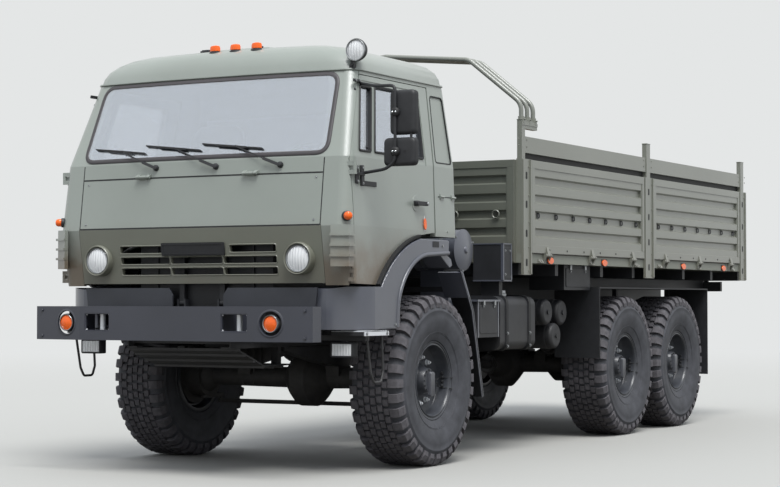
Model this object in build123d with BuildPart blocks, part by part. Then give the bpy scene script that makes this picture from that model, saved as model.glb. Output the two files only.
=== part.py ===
from build123d import *
import os
from math import radians, tan

os.makedirs("parts", exist_ok=True)

# Six-wheel-drive cab-over cargo truck, in millimetres.
# While a piece is built, y counts back from the front axle, x to the truck's left
# and z up from the ground. At the end every piece moves so that the origin lies
# on the ground at the middle of the length.

# Overall layout
FRONT_END = -1670
WHEELBASE = 3690
BOGIE_SPREAD = 1320
TRACK = 2050
BODY_HALF = 1250
AXLE_Z = 618
MIDDLE_AXLE_Y = WHEELBASE
REAR_AXLE_Y = WHEELBASE + BOGIE_SPREAD
BOGIE_Y = WHEELBASE + BOGIE_SPREAD / 2

# Wheels
TYRE_R = AXLE_Z
RIM_R = 267
FLANGE_R = 288
RIM_HALF = 165
HUB_R = 95
DRUM_R = 235
SPINDLE_R = 45
RUNNING_FIT = 0.05
PIN_FIT = 0.3

# Steering
KINGPIN_X = TRACK / 2 - 225
BALL_R = 130
BALL_GAP = 3
KINGPIN_R = 25

# Frame
RAIL_X = 430
RAIL_BOTTOM = 870
RAIL_TOP = 1130
RAIL_FLANGE = 80
RAIL_WALL = 10
FRAME_FRONT = -1500
FRAME_REAR = 6600

# Cab
CAB_WALL = 45
GUTTER_Z = 2780
FRONT_CORNER_R = 90
REAR_CORNER_R = 70
DOOR_GAP = 6
DOOR_REAR_GAP = 18
FLOOR_Z = (1660, 1700)
ARCH_GAP = 24
WING_TOP = FLOOR_Z[0] - ARCH_GAP
TILT_Y = -1196
TILT_Z = 1180
TILT_X = 170
TILT_PIN_R = 15

# Cab sections from the floor up: height, half width, y of the front corners, bow of the front, y of the rear
CAB_SECTIONS = (
    (1300, 1214, -1225, 30, 345),
    (1700, 1220, -1288, 35, 345),
    (2170, 1204, -1222, 60, 345),
    (GUTTER_Z, 1104, -985, 60, 345),
)
# Roof sections, with the same columns
ROOF_SECTIONS = (
    (GUTTER_Z, 1104, -985, 60, 345),
    (2860, 1065, -930, 65, 335),
    (2930, 965, -850, 75, 300),
    (2985, 780, -680, 85, 215),
    (3005, 480, -430, 80, 60),
)

# Cargo bed
BED_FRONT = 1393
BED_FLOOR_Z = 1567
DECK_Z = BED_FLOOR_Z + 5
SIDE_BOTTOM = 1575
SIDE_TOP = 2318
SIDE_WALL = 45
SILL_X = BODY_HALF - 10
DECK_X = BODY_HALF - 55
BED_GAP = 8
UPPER_BOARD_Z = (2370, 2500)
STAKE_TOP = 2630
POST_FOOT = 1400
# Posts of each side: first and last y
POSTS = ((BED_FRONT, 1562), (4018, 4244), (6692, 6885))
# Heights of the pressed channels in the boards
CHANNEL_Z = (2155, 2010, 1877, 1740)
CHANNEL_H = 76
CHANNEL_DEPTH = 22
TAILGATE_Y = 6895
TAILGATE_WALL = 50
HINGE_R = 8
HINGE_EYE_R = 14
TAIL_HINGE_Y = TAILGATE_Y + TAILGATE_WALL + 12
TAIL_HINGE_Z = 1560

# How far the left mirrors and the folded right ones reach from the cab's middle plane
MIRROR_REACH = 1615
FOLDED_REACH = 1400

# The whole length, and the move that puts the origin at the middle of the length and width
REAR_END = TAIL_HINGE_Y + HINGE_EYE_R
ROW_FRAME = Location((-(MIRROR_REACH - FOLDED_REACH) / 2, -(FRONT_END + REAR_END) / 2, 0))


def save(piece, name):
    """Move a finished piece into the row frame and write it as its own node."""
    placed = piece.moved(ROW_FRAME)
    placed.label = name
    export_step(placed, f"parts/{name}.step")


def across(y):
    """The upright plane at y, seen from the front: sketch x is x and sketch y is z."""
    return Plane(origin=(0, y, 0), x_dir=(1, 0, 0), z_dir=(0, -1, 0))


def along(x):
    """The upright plane at x, seen from the left: sketch x is y and sketch y is z."""
    return Plane(origin=(x, 0, 0), x_dir=(0, 1, 0), z_dir=(1, 0, 0))


def block(low, high):
    """A box between two corners."""
    size = [h - l for l, h in zip(low, high)]
    return Pos(*low) * Box(*size, align=(Align.MIN, Align.MIN, Align.MIN), mode=Mode.PRIVATE)


def outline(half, corner, bow, rear, inset):
    """One level of the cab seen from above, with a bowed front and rounded corners."""
    half = half - inset
    front_left = (-half, corner + inset)
    front_right = (half, corner + inset)
    with BuildSketch(mode=Mode.PRIVATE) as level:
        with BuildLine():
            ThreePointArc(front_left, (0, corner - bow + inset), front_right)
            Polyline(front_right, (half, rear - inset), (-half, rear - inset), front_left)
        make_face()
        fillet(level.vertices().sort_by(Axis.Y)[:2], FRONT_CORNER_R - inset)
        fillet(level.vertices().sort_by(Axis.Y)[-2:], REAR_CORNER_R - inset)
    return level.sketch


def cab_volume(inset):
    """The cab's form up to the gutter, moved in by inset."""
    with BuildPart() as volume:
        for height, half, corner, bow, rear in CAB_SECTIONS:
            with BuildSketch(Plane.XY.offset(height)):
                add(outline(half, corner, bow, rear, inset))
        loft(ruled=True)
    return volume.part


def roof_volume(inset):
    """The roof's form from the gutter up, moved in and down by inset."""
    with BuildPart() as volume:
        for number, (height, half, corner, bow, rear) in enumerate(ROOF_SECTIONS):
            drop = inset if number else 0
            with BuildSketch(Plane.XY.offset(height - drop)):
                add(outline(half, corner, bow, rear, inset))
        loft(ruled=True)
    return volume.part


def prism_x(points, x0, x1):
    """A side-view polygon of (y, z) points, carried across from x0 to x1."""
    with BuildPart() as prism:
        with BuildSketch(along(x0)):
            Polygon(*points)
        extrude(amount=x1 - x0)
    return prism.part


def both_sides(piece):
    """A left-hand piece with its mirror image."""
    return piece + mirror(piece, about=Plane.YZ)


def hinge_bar(plane_at, starts, width, centre, leaf, pin_r, eye_r, bored):
    """Eyes of one hinge about an upright or level line, each with its leaf, and bored or joined by a pin."""
    with BuildPart() as bar:
        for start in starts:
            with BuildSketch(plane_at(start)):
                with Locations(centre):
                    Circle(eye_r)
                Polygon(*leaf)
                if bored:
                    with Locations(centre):
                        Circle(pin_r + PIN_FIT, mode=Mode.SUBTRACT)
            extrude(amount=width)
        if not bored:
            with BuildSketch(plane_at(starts[0])):
                with Locations(centre):
                    Circle(pin_r)
            extrude(amount=starts[-1] + width - starts[0])
    return bar.part


# Wheels: tyre, and rim with disc, hub and brake drum, about the x axis
# Tyre section on its outer half: offset from the middle, radius
TYRE_SECTION = (
    (140, RIM_R),
    (150, FLANGE_R + 4),
    (212, 400),
    (206, 510),
    (178, 585),
    (150, TYRE_R),
)
with BuildPart() as tyre:
    with BuildSketch(Plane.XY):
        outer = [(x, r) for x, r in TYRE_SECTION]
        inner = [(-x, r) for x, r in reversed(TYRE_SECTION)]
        Polygon(*outer, *inner)
    revolve(axis=Axis.X)

# Rim section from the inner flange round the dish, hub and drum: offset outboard, radius
RIM_SECTION = (
    (-RIM_HALF, RIM_R - 12),
    (-RIM_HALF, FLANGE_R),
    (-RIM_HALF + 14, FLANGE_R),
    (-RIM_HALF + 14, RIM_R),
    (RIM_HALF - 14, RIM_R),
    (RIM_HALF - 14, FLANGE_R),
    (RIM_HALF, FLANGE_R),
    (RIM_HALF, RIM_R - 14),
    (70, RIM_R - 22),
    (48, 195),
    (48, 125),
    (85, HUB_R),
    (128, HUB_R - 8),
    (128, 0),
    (60, 0),
    (60, SPINDLE_R + RUNNING_FIT),
    (-55, SPINDLE_R + RUNNING_FIT),
    (-55, 80),
    (20, 110),
    (20, DRUM_R - 12),
    (-110, DRUM_R - 12),
    (-110, DRUM_R),
    (30, DRUM_R),
    (50, RIM_R - 12),
)
with BuildPart() as rim:
    with BuildSketch(Plane.XY):
        Polygon(*RIM_SECTION)
    revolve(axis=Axis.X)
wheel_tyre = tyre.part
wheel_rim = rim.part

# Place in the name, axle y
AXLES = (("front", 0), ("middle", MIDDLE_AXLE_Y), ("rear", REAR_AXLE_Y))
for place, y in AXLES:
    for side, sign in (("left", 1), ("right", -1)):
        spot = Location((sign * TRACK / 2, y, AXLE_Z), (0, 0, 0 if sign > 0 else 180))
        save(wheel_tyre.moved(spot), f"tyre_{place}_{side}")
        save(wheel_rim.moved(spot), f"rim_{place}_{side}")

# Spare wheel, upright behind the cab with its outer face to the rear
SPARE_X = -420
SPARE_Y = 860
SPARE_SEAT_Z = 1300
spare_spot = Location((SPARE_X, SPARE_Y, SPARE_SEAT_Z + TYRE_R), (0, 0, 90))
save(wheel_tyre.moved(spare_spot) + wheel_rim.moved(spare_spot), "spare_wheel")

# Frame: two channel rails joined by cross-members
# First y, lowest and highest z of each
CROSS_MEMBERS = (
    (-1440, 900, 1100),
    (1560, 1060, 1120),
    (2700, 900, 1100),
    (BOGIE_Y - 110, 900, 1100),
    (5600, 900, 1100),
    (FRAME_REAR - 90, 900, 1100),
)
with BuildPart() as rails:
    with BuildSketch(across(FRAME_FRONT)):
        with Locations((RAIL_X - RAIL_FLANGE / 2, (RAIL_BOTTOM + RAIL_TOP) / 2)):
            Rectangle(RAIL_FLANGE, RAIL_TOP - RAIL_BOTTOM)
        with Locations((RAIL_X - RAIL_WALL - RAIL_FLANGE / 2, (RAIL_BOTTOM + RAIL_TOP) / 2)):
            Rectangle(RAIL_FLANGE, RAIL_TOP - RAIL_BOTTOM - 2 * RAIL_WALL, mode=Mode.SUBTRACT)
    extrude(amount=-(FRAME_REAR - FRAME_FRONT))
    mirror(about=Plane.YZ)
save(rails.part, "chassis_frame")

BETWEEN_X = RAIL_X - RAIL_WALL
GUARD_HALF = RAIL_X + 30
cross_members = None
for y, low, high in CROSS_MEMBERS:
    with BuildPart() as member:
        add(block((-BETWEEN_X, y, low), (BETWEEN_X, y + 10, high)))
        for z in (low, high - 10):
            add(block((-BETWEEN_X, y, z), (BETWEEN_X, y + 90, z + 10)))
    cross_members = member.part if cross_members is None else cross_members + member.part
with BuildPart() as tow_hook:
    # Pad and hook on the last cross-member
    add(block((-110, FRAME_REAR, 900), (110, FRAME_REAR + 20, 1080)))
    with BuildSketch(along(-22)):
        Polygon((FRAME_REAR + 10, 950), (FRAME_REAR + 10, 1030), (FRAME_REAR + 90, 1030), (FRAME_REAR + 150, 1060),
                (FRAME_REAR + 165, 1010), (FRAME_REAR + 150, 950), (FRAME_REAR + 80, 930))
        with Locations((FRAME_REAR + 118, 1000)):
            Circle(20, mode=Mode.SUBTRACT)
    extrude(amount=44)
with BuildPart() as pivot_beam:
    # Cab pivots: two cheeks and their pin each, on a beam between the rails
    add(block((-BETWEEN_X, TILT_Y - 30, 1000), (BETWEEN_X, TILT_Y + 25, 1060)))
    for x in (TILT_X, -TILT_X):
        for x_cheek in (x - 34, x + 22):
            add(block((x_cheek, TILT_Y - 30, 1000), (x_cheek + 12, TILT_Y + 25, TILT_Z + 28)))
        with BuildSketch(along(x - 34)):
            with Locations((TILT_Y, TILT_Z)):
                Circle(TILT_PIN_R)
        extrude(amount=68)
with BuildPart() as guard_plate:
    # Ribbed guard plate below the frame's front end, on two hangers
    with BuildSketch(along(-GUARD_HALF)):
        Polygon((-1440, RAIL_BOTTOM), (-1440, 852), (-1130, 740), (-760, 740), (-760, 750), (-1127, 750),
                (-1426, 858), (-1426, RAIL_BOTTOM))
    extrude(amount=2 * GUARD_HALF)
    for y in (-1380, -1260, -1140, -1020, -900):
        low = max(740, 740 + (-1130 - y) * 0.361)
        add(block((-GUARD_HALF, y, low - 16), (GUARD_HALF, y + 24, low + 6)))
    for x in (-RAIL_X, RAIL_X - 60):
        add(block((x, -900, 745), (x + 60, -860, RAIL_BOTTOM)))
save(cross_members + tow_hook.part + pivot_beam.part + guard_plate.part, "cross_members")

with BuildPart() as spare_cradle:
    add(block((SPARE_X - 230, SPARE_Y - 120, RAIL_TOP), (SPARE_X + 230, SPARE_Y + 120, RAIL_TOP + 60)))
    for x in (SPARE_X - 230, SPARE_X + 180):
        add(block((x, SPARE_Y - 120, RAIL_TOP + 60), (x + 50, SPARE_Y + 120, SPARE_SEAT_Z + 90)))
    with BuildSketch(across(SPARE_Y - 140)):
        with Locations((SPARE_X, SPARE_SEAT_Z + TYRE_R)):
            Circle(TYRE_R)
    extrude(amount=-280, mode=Mode.SUBTRACT)
with BuildPart() as cab_post:
    # Rear cab post on the rail, with its pad
    add(block((RAIL_X - RAIL_FLANGE, 230, RAIL_TOP), (RAIL_X, 290, FLOOR_Z[0] - 40)))
    add(block((RAIL_X - RAIL_FLANGE, 230, FLOOR_Z[0] - 40), (620, 290, FLOOR_Z[0] - PIN_FIT)))
save(spare_cradle.part + both_sides(cab_post.part), "frame_brackets")

# Front bumper: a steel channel with swept-back ends, open to the rear
BUMPER_HALF = 1146
BUMPER_Z = (923, 1157)
BUMPER_BEND_X = 720
BUMPER_SWEEP = 60
BUMPER_DEPTH = 165
BUMPER_WALL = 8
TOW_X = 569
TOW_WINDOW = (216, 126)
TOW_Z = 1048
TURN_LAMP_X = 847
TURN_LAMP_Z = 1044
TURN_LAMP_R = 80


def bumper_plan(depth, wall):
    """Half of the bumper seen from above, as points from the middle outward."""
    front = FRONT_END + wall
    end = FRONT_END + BUMPER_SWEEP + wall
    back = FRONT_END + depth
    return (0, front), (BUMPER_BEND_X, front), (BUMPER_HALF - wall, end), (BUMPER_HALF - wall, back), (0, back)


with BuildPart() as front_bumper:
    with BuildSketch(Plane.XY.offset(BUMPER_Z[0])):
        Polygon(*bumper_plan(BUMPER_DEPTH, 0))
        mirror(about=Plane.YZ)
    extrude(amount=BUMPER_Z[1] - BUMPER_Z[0])
    with BuildSketch(Plane.XY.offset(BUMPER_Z[0] + BUMPER_WALL)):
        Polygon(*bumper_plan(BUMPER_DEPTH + 10, BUMPER_WALL))
        mirror(about=Plane.YZ)
    extrude(amount=BUMPER_Z[1] - BUMPER_Z[0] - 2 * BUMPER_WALL, mode=Mode.SUBTRACT)
    with BuildSketch(across(FRONT_END + 60)):
        with Locations((TOW_X, TOW_Z), (-TOW_X, TOW_Z)):
            RectangleRounded(*TOW_WINDOW, 12)
        with Locations((TURN_LAMP_X, TURN_LAMP_Z), (-TURN_LAMP_X, TURN_LAMP_Z)):
            Circle(TURN_LAMP_R)
    extrude(amount=100, mode=Mode.SUBTRACT)
    # Tow jaws: two cheeks and a pin behind each window, run back to the rails
    for sign in (1, -1):
        x = sign * TOW_X
        add(block((x - 150, FRONT_END + BUMPER_WALL, BUMPER_Z[0] + BUMPER_WALL),
                  (x - 138, FRONT_END + 160, BUMPER_Z[1] - BUMPER_WALL)))
        add(block((x + 138, FRONT_END + BUMPER_WALL, BUMPER_Z[0] + BUMPER_WALL),
                  (x + 150, FRONT_END + 160, BUMPER_Z[1] - BUMPER_WALL)))
        with Locations((x, FRONT_END + 70, (BUMPER_Z[0] + BUMPER_Z[1]) / 2)):
            Cylinder(18, BUMPER_Z[1] - BUMPER_Z[0] - 2 * BUMPER_WALL)
        # Bumper arm on the outer face of the rail
        arm_x = sign * (RAIL_X + 8)
        low_x, high_x = sorted((arm_x - sign * 8, arm_x + sign * 8))
        add(block((low_x, FRONT_END + BUMPER_WALL, BUMPER_Z[0] + BUMPER_WALL),
                  (high_x, FRAME_FRONT + 300, BUMPER_Z[1] - BUMPER_WALL - 20)))
save(front_bumper.part, "front_bumper")

# Front aprons between bumper and cab
APRON_TOP = 1285
APRON_Y = -1270
with BuildPart() as front_aprons:
    with BuildSketch(across(APRON_Y)):
        Polygon((215, RAIL_TOP), (215, 1235), (250, APRON_TOP), (975, APRON_TOP), (955, RAIL_TOP))
    extrude(amount=-14)
    add(block((RAIL_X, APRON_Y + 14, RAIL_TOP), (RAIL_X + 40, APRON_Y + 70, APRON_TOP - 40)))
    add(block((RAIL_X - 50, APRON_Y + 14, RAIL_TOP), (RAIL_X, APRON_Y + 70, RAIL_TOP + 10)))
    mirror(about=Plane.YZ)
save(front_aprons.part, "front_aprons")

# Engine: one plain block between the rails, with its radiator ahead of it
ENGINE_HALF = 340
ENGINE_TOP = 1760
with BuildPart() as engine:
    with BuildSketch(across(-880)):
        Polygon((-200, 860), (200, 860), (250, 1000), (ENGINE_HALF, 1450), (ENGINE_HALF, ENGINE_TOP - 60),
                (ENGINE_HALF - 60, ENGINE_TOP), (-ENGINE_HALF + 60, ENGINE_TOP),
                (-ENGINE_HALF, ENGINE_TOP - 60), (-ENGINE_HALF, 1450), (-250, 1000))
    extrude(amount=-1130)
    # Mounting feet on the rails' upper flanges
    for sign in (1, -1):
        x0, x1 = sorted((sign * 240, sign * RAIL_X))
        add(block((x0, -500, RAIL_TOP), (x1, -380, RAIL_TOP + 50)))
        add(block((x0, -40, RAIL_TOP), (x1, 80, RAIL_TOP + 50)))
    # Bell housing and gearbox
    with BuildSketch(across(250)):
        with Locations((0, 1020)):
            RegularPolygon(270, 8)
    extrude(amount=-250)
    with BuildSketch(across(500)):
        with Locations((0, 1000)):
            RegularPolygon(200, 8)
    extrude(amount=-620)

RADIATOR_Z = (RAIL_TOP, 1620)
with BuildPart() as radiator:
    add(block((-RAIL_X, -1165, RADIATOR_Z[0]), (RAIL_X, -1085, RADIATOR_Z[1])))
    with BuildSketch(across(-1085)):
        with Locations((0, 1385)):
            Rectangle(780, 460)
    with BuildSketch(across(-880)):
        with Locations((0, 1385)):
            Rectangle(560, 420)
    loft(ruled=True)
save(engine.part + radiator.part, "engine")

# Front driving axle: casing, ball ends and the carrier, then the two bogie axles
SPRING_X = 390


def banjo(offset, half_length, end_r):
    """An axle casing about the x axis, with its carrier bulge at offset."""
    with BuildPart() as casing:
        with BuildSketch(Plane.XY):
            Polygon((-half_length, 0), (-half_length, end_r), (offset - 185, end_r + 8), (offset - 110, 165),
                    (offset - 60, 212), (offset + 60, 212), (offset + 110, 165), (offset + 185, end_r + 8),
                    (half_length, end_r), (half_length, 0))
        revolve(axis=Axis.X)
    return casing.part


def carrier(y0, y1):
    """A differential carrier nose from y0 to y1 with its drive flange."""
    with BuildPart() as nose:
        with BuildSketch(Plane(origin=(0, y0, 0), x_dir=(1, 0, 0), z_dir=(0, 1, 0))):
            Circle(165)
        with BuildSketch(Plane(origin=(0, y1, 0), x_dir=(1, 0, 0), z_dir=(0, 1, 0))):
            Circle(70)
        loft(ruled=True)
        with BuildSketch(Plane(origin=(0, y1, 0), x_dir=(1, 0, 0), z_dir=(0, 1, 0))):
            Circle(85)
        extrude(amount=18 if y1 > y0 else -18)
    return nose.part


CARRIER_X = 150
with BuildPart() as front_axle:
    add(banjo(CARRIER_X, KINGPIN_X - 90, 70))
    add(Pos(CARRIER_X, 0, 0) * carrier(60, 330))
    for sign in (1, -1):
        with Locations((sign * KINGPIN_X, 0, 0)):
            Sphere(BALL_R)
            Cylinder(KINGPIN_R + RUNNING_FIT, 2 * BALL_R + 10, mode=Mode.SUBTRACT)
        # Spring seat
        add(block((sign * SPRING_X - 55, -90, 20), (sign * SPRING_X + 55, 90, 92)))
front_axle_piece = front_axle.part.moved(Location((0, 0, AXLE_Z)))

axles = front_axle_piece
# Bogie axles: axle y, y direction of the input shaft
for y, nose in ((MIDDLE_AXLE_Y, -1), (REAR_AXLE_Y, -1)):
    with BuildPart() as rear_axle:
        add(banjo(0, TRACK / 2 - 122, 72))
        add(carrier(nose * 60, nose * 330))
        for sign in (1, -1):
            # Brake back plate and spindle
            with BuildSketch(along(sign * (TRACK / 2 - 122))):
                Circle(DRUM_R - 18)
            extrude(amount=-sign * 12)
            with BuildSketch(along(sign * (TRACK / 2 - 130))):
                Circle(SPINDLE_R)
            extrude(amount=sign * 185)
            add(block((sign * SPRING_X - 55, -80, 20), (sign * SPRING_X + 55, 80, 95)))
    axles = axles + rear_axle.part.moved(Location((0, y, AXLE_Z)))
save(axles, "axles")

# Steering knuckles: bell over the ball, kingpins, back plate, spindle and steering arm
ARM_REACH = 205
ARM_DROP = -BALL_R - 28
EYE_R = 22
TIE_PIN_R = 10
with BuildPart() as knuckle:
    with BuildSketch(Plane.XY):
        Polygon((-40, 0), (-40, BALL_R + 28), (88, BALL_R + 28), (88, DRUM_R - 20), (100, DRUM_R - 20),
                (100, 110), (150, 70), (158, SPINDLE_R), (TRACK / 2 - KINGPIN_X + 55, SPINDLE_R),
                (TRACK / 2 - KINGPIN_X + 55, 0))
    revolve(axis=Axis.X)
    Sphere(BALL_R + BALL_GAP, mode=Mode.SUBTRACT)
    Cylinder(KINGPIN_R, 2 * (BALL_R + 24))
    Cylinder(KINGPIN_R + 2, 2 * BALL_R - 90, mode=Mode.SUBTRACT)
    with Locations((0, 0, BALL_R + 30), (0, 0, -BALL_R - 30)):
        Cylinder(45, 24)
    # Steering arm straight back from the lower kingpin cap, with its ball pin below
    add(block((-20, 0, ARM_DROP - 14), (20, ARM_REACH, ARM_DROP + 14)))
    with Locations((0, ARM_REACH, ARM_DROP)):
        Cylinder(EYE_R, 28)
    with Locations((0, ARM_REACH, ARM_DROP - 36)):
        Cylinder(TIE_PIN_R, 48)
for side, sign in (("left", 1), ("right", -1)):
    hand = knuckle.part if sign > 0 else mirror(knuckle.part, about=Plane.YZ)
    save(hand.moved(Location((sign * KINGPIN_X, 0, AXLE_Z))), f"steering_knuckle_{side}")

# Tie rod between the two ball pins, parallel to the axle
with BuildPart() as tie_rod:
    rod_z = AXLE_Z + ARM_DROP - 44
    with BuildSketch(along(-KINGPIN_X)):
        with Locations((ARM_REACH, rod_z)):
            Circle(16)
    extrude(amount=2 * KINGPIN_X)
    with Locations((KINGPIN_X, ARM_REACH, rod_z), (-KINGPIN_X, ARM_REACH, rod_z)):
        Cylinder(EYE_R, 32)
        Cylinder(TIE_PIN_R + PIN_FIT, 60, mode=Mode.SUBTRACT)
save(tie_rod.part, "tie_rod")

# Leaf springs: a stepped pack, narrower towards the eyes
with BuildPart() as front_spring:
    with BuildSketch(along(SPRING_X - 45)):
        Polygon((-820, 848), (-820, 866), (820, 866), (820, 848), (600, 800), (350, 750), (90, 710),
                (-90, 710), (-350, 750), (-600, 800))
    extrude(amount=90)
    for y in (-820, 760):
        add(block((SPRING_X - 45, y, 840), (SPRING_X + 40, y + 60, RAIL_BOTTOM)))
with BuildPart() as rear_spring:
    with BuildSketch(along(SPRING_X - 45)):
        reach = BOGIE_SPREAD / 2 + 70
        Polygon((-reach, 713), (reach, 713), (reach, 735), (420, 800), (110, 850), (-110, 850), (-420, 800),
                (-reach, 735))
    extrude(amount=90)
    with BuildSketch(along(SPRING_X - 60)):
        Polygon((-170, RAIL_BOTTOM), (170, RAIL_BOTTOM), (90, 640), (-90, 640))
    extrude(amount=120)
springs = both_sides(front_spring.part) + both_sides(rear_spring.part.moved(Location((0, BOGIE_Y, 0))))
save(springs, "leaf_springs")

# Transfer case and propeller shafts
TRANSFER_Y = 1900
with BuildPart() as transfer_case:
    with BuildSketch(across(TRANSFER_Y - 180)):
        Polygon((-230, 640), (230, 640), (260, 760), (200, 1060), (-200, 1060), (-260, 760))
    extrude(amount=-360)
    add(block((-RAIL_X + RAIL_WALL, TRANSFER_Y - 60, 960), (RAIL_X - RAIL_WALL, TRANSFER_Y + 60, 1010)))


def shaft(start, end, radius):
    """A propeller shaft with flanges, clear of both seats by the tilt of its flanges."""
    run = Vector(*end) - Vector(*start)
    tilt = radians(run.get_angle(Vector(0, 1, 0)))
    room = run.normalized() * ((radius + 28) * tan(tilt) + 0.3)
    start = Vector(*start) + room
    end = Vector(*end) - room
    run = end - start
    with BuildPart() as rod:
        with BuildSketch(Plane(origin=start, z_dir=run)):
            Circle(radius)
        extrude(amount=run.length)
        with BuildSketch(Plane(origin=start, z_dir=run)):
            Circle(radius + 28)
        extrude(amount=16)
        with BuildSketch(Plane(origin=end, z_dir=run)):
            Circle(radius + 28)
        extrude(amount=-16)
    return rod.part


# Shaft ends and radius
SHAFTS = (
    ((0, 1120, 1000), (0, TRANSFER_Y - 180, 980), 38),
    ((CARRIER_X, 348, AXLE_Z), (CARRIER_X, TRANSFER_Y - 180, 720), 38),
    ((0, TRANSFER_Y + 180, 720), (0, MIDDLE_AXLE_Y - 348, AXLE_Z), 42),
    ((0, MIDDLE_AXLE_Y + 212, AXLE_Z), (0, REAR_AXLE_Y - 348, AXLE_Z), 42),
)
driveline = transfer_case.part
for start, end, radius in SHAFTS:
    driveline = driveline + shaft(start, end, radius)
save(driveline, "driveline")

# Fuel tanks, one each side, on brackets from the rails
TANK_Y = (1095, 1740)
TANK_Z = (810, 1230)
TANK_X = (560, 1200)
with BuildPart() as fuel_tank:
    with BuildSketch(across(TANK_Y[0])):
        with Locations(((TANK_X[0] + TANK_X[1]) / 2, (TANK_Z[0] + TANK_Z[1]) / 2)):
            RectangleRounded(TANK_X[1] - TANK_X[0], TANK_Z[1] - TANK_Z[0], 70)
    extrude(amount=-(TANK_Y[1] - TANK_Y[0]))
    for y in (TANK_Y[0] + 90, TANK_Y[1] - 140):
        with BuildSketch(across(y)):
            with Locations(((TANK_X[0] + TANK_X[1]) / 2, (TANK_Z[0] + TANK_Z[1]) / 2)):
                RectangleRounded(TANK_X[1] - TANK_X[0] + 12, TANK_Z[1] - TANK_Z[0] + 12, 76)
        extrude(amount=-50)
        add(block((RAIL_X, y, 880), (TANK_X[0] + 40, y + 50, 1120)))
        add(block((RAIL_X, y, 790), (TANK_X[0] + 350, y + 50, 815)))
        add(block((RAIL_X, y, 790), (RAIL_X + 25, y + 50, 1120)))

# Boxes on the left: battery box ahead of the tank, case behind the cab, tool box under the bed
with BuildPart() as battery_box:
    add(block((640, 700, 915), (1195, 1085, 1190)))
    add(block((630, 690, 1190), (1205, 1085, 1200)))
    add(block((RAIL_X, 760, 915), (640, 1020, 960)))
with BuildPart() as rear_case:
    add(block((940, 1150, 1350), (1200, 1300, 1640)))
    add(block((980, 1200, 1236), (1140, 1260, 1350)))
with BuildPart() as tool_box:
    add(block((830, 2435, 1285), (1150, 2990, 1495)))
    for y in (2480, 2890):
        add(block((880, y, 1495), (1100, y + 50, 1535)))
save(battery_box.part + rear_case.part + tool_box.part, "equipment_boxes")

# Air tanks: y and z of each, lying across the truck on one carrier plate
AIR_TANK_R = 108
AIR_TANKS = ((2260, 1100), (2560, 1095), (2430, 900))
with BuildPart() as air_tanks:
    for y, z in AIR_TANKS:
        with BuildSketch(Plane(origin=(520, y, z), x_dir=(0, 1, 0), z_dir=(1, 0, 0))):
            Circle(AIR_TANK_R)
        extrude(amount=560)
    fillet(air_tanks.faces().filter_by(Axis.X).edges(), 30)
    add(block((RAIL_X, 2150, 880), (RAIL_X + 20, 2670, 1120)))
    for y, z in AIR_TANKS:
        add(block((RAIL_X, y - 40, z - 40), (560, y + 40, z + 40)))
save(both_sides(fuel_tank.part) + air_tanks.part, "tanks")

# Air cleaner drum behind the cab on its stand, with the silencer on the right
DRUM_Y = 657
DRUM_Z = 1580
with BuildPart() as air_cleaner:
    with BuildSketch(along(720)):
        with Locations((DRUM_Y, DRUM_Z)):
            Circle(155)
    extrude(amount=380)
    with BuildSketch(along(720)):
        with Locations((DRUM_Y, DRUM_Z)):
            Circle(70)
    extrude(amount=-120)
    add(block((760, DRUM_Y - 50, 1210), (1000, DRUM_Y + 25, 1470)))
    add(block((RAIL_X, DRUM_Y - 50, 1090), (1000, DRUM_Y + 25, 1210)))
save(air_cleaner.part, "air_cleaner")

STRIP_RUN = Vector(-200, 90, 0)
# Mudguards: strips behind the front wheels, and guards with flaps on the bogie
with BuildPart() as front_strip:
    # Set back towards the rail, clear of the steered tyre
    with BuildSketch(along(BODY_HALF)):
        Polygon((330, 1420), (518, 1120), (688, 470), (700, 470), (530, 1122), (342, 1426))
    extrude(amount=STRIP_RUN.length, dir=STRIP_RUN)
    # Beam above the tyre and its post on the rail
    add(block((RAIL_X, 445, 1262), (1110, 510, 1300)))
    add(block((RAIL_X, 445, 1000), (RAIL_X + 40, 510, 1262)))
GUARD_Z = AXLE_Z + TYRE_R + 64
GUARD_Y = (MIDDLE_AXLE_Y - TYRE_R - 60, REAR_AXLE_Y + TYRE_R + 112)
with BuildPart() as rear_guard:
    add(block((810, GUARD_Y[0], GUARD_Z), (1235, GUARD_Y[1], GUARD_Z + 12)))
    add(block((810, GUARD_Y[0] - 12, 700), (1235, GUARD_Y[0], GUARD_Z + 12)))
    add(block((810, GUARD_Y[1], 470), (1235, GUARD_Y[1] + 12, GUARD_Z + 12)))
    for y in (GUARD_Y[0] + 98, BOGIE_Y - 10, GUARD_Y[1] - 40):
        add(block((RAIL_X, y, 1100), (840, y + 40, 1125)))
        add(block((800, y, 1100), (840, y + 40, GUARD_Z)))
save(both_sides(front_strip.part) + both_sides(rear_guard.part), "mudguards")

# Entry steps: a tread plate on an arm each side, with a rod stirrup below
STIRRUP_X = 1235
STIRRUP_R = 9
with BuildPart() as entry_step:
    add(block((1000, -1130, 960), (1255, -790, 985)))
    add(block((RAIL_X, -1080, 925), (1030, -1030, 960)))
    add(block((1000, -1080, 925), (1240, -1030, 960)))
    with BuildLine() as rod_line:
        FilletPolyline((STIRRUP_X, -1060, 960), (STIRRUP_X, -1000, 700), (STIRRUP_X, -960, 640),
                       (STIRRUP_X, -860, 640), (STIRRUP_X, -830, 710), (STIRRUP_X, -850, 960), radius=30)
    with BuildSketch(Plane(origin=rod_line.line @ 0, z_dir=rod_line.line % 0)):
        Circle(STIRRUP_R)
    sweep()
save(both_sides(entry_step.part), "entry_steps")

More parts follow.
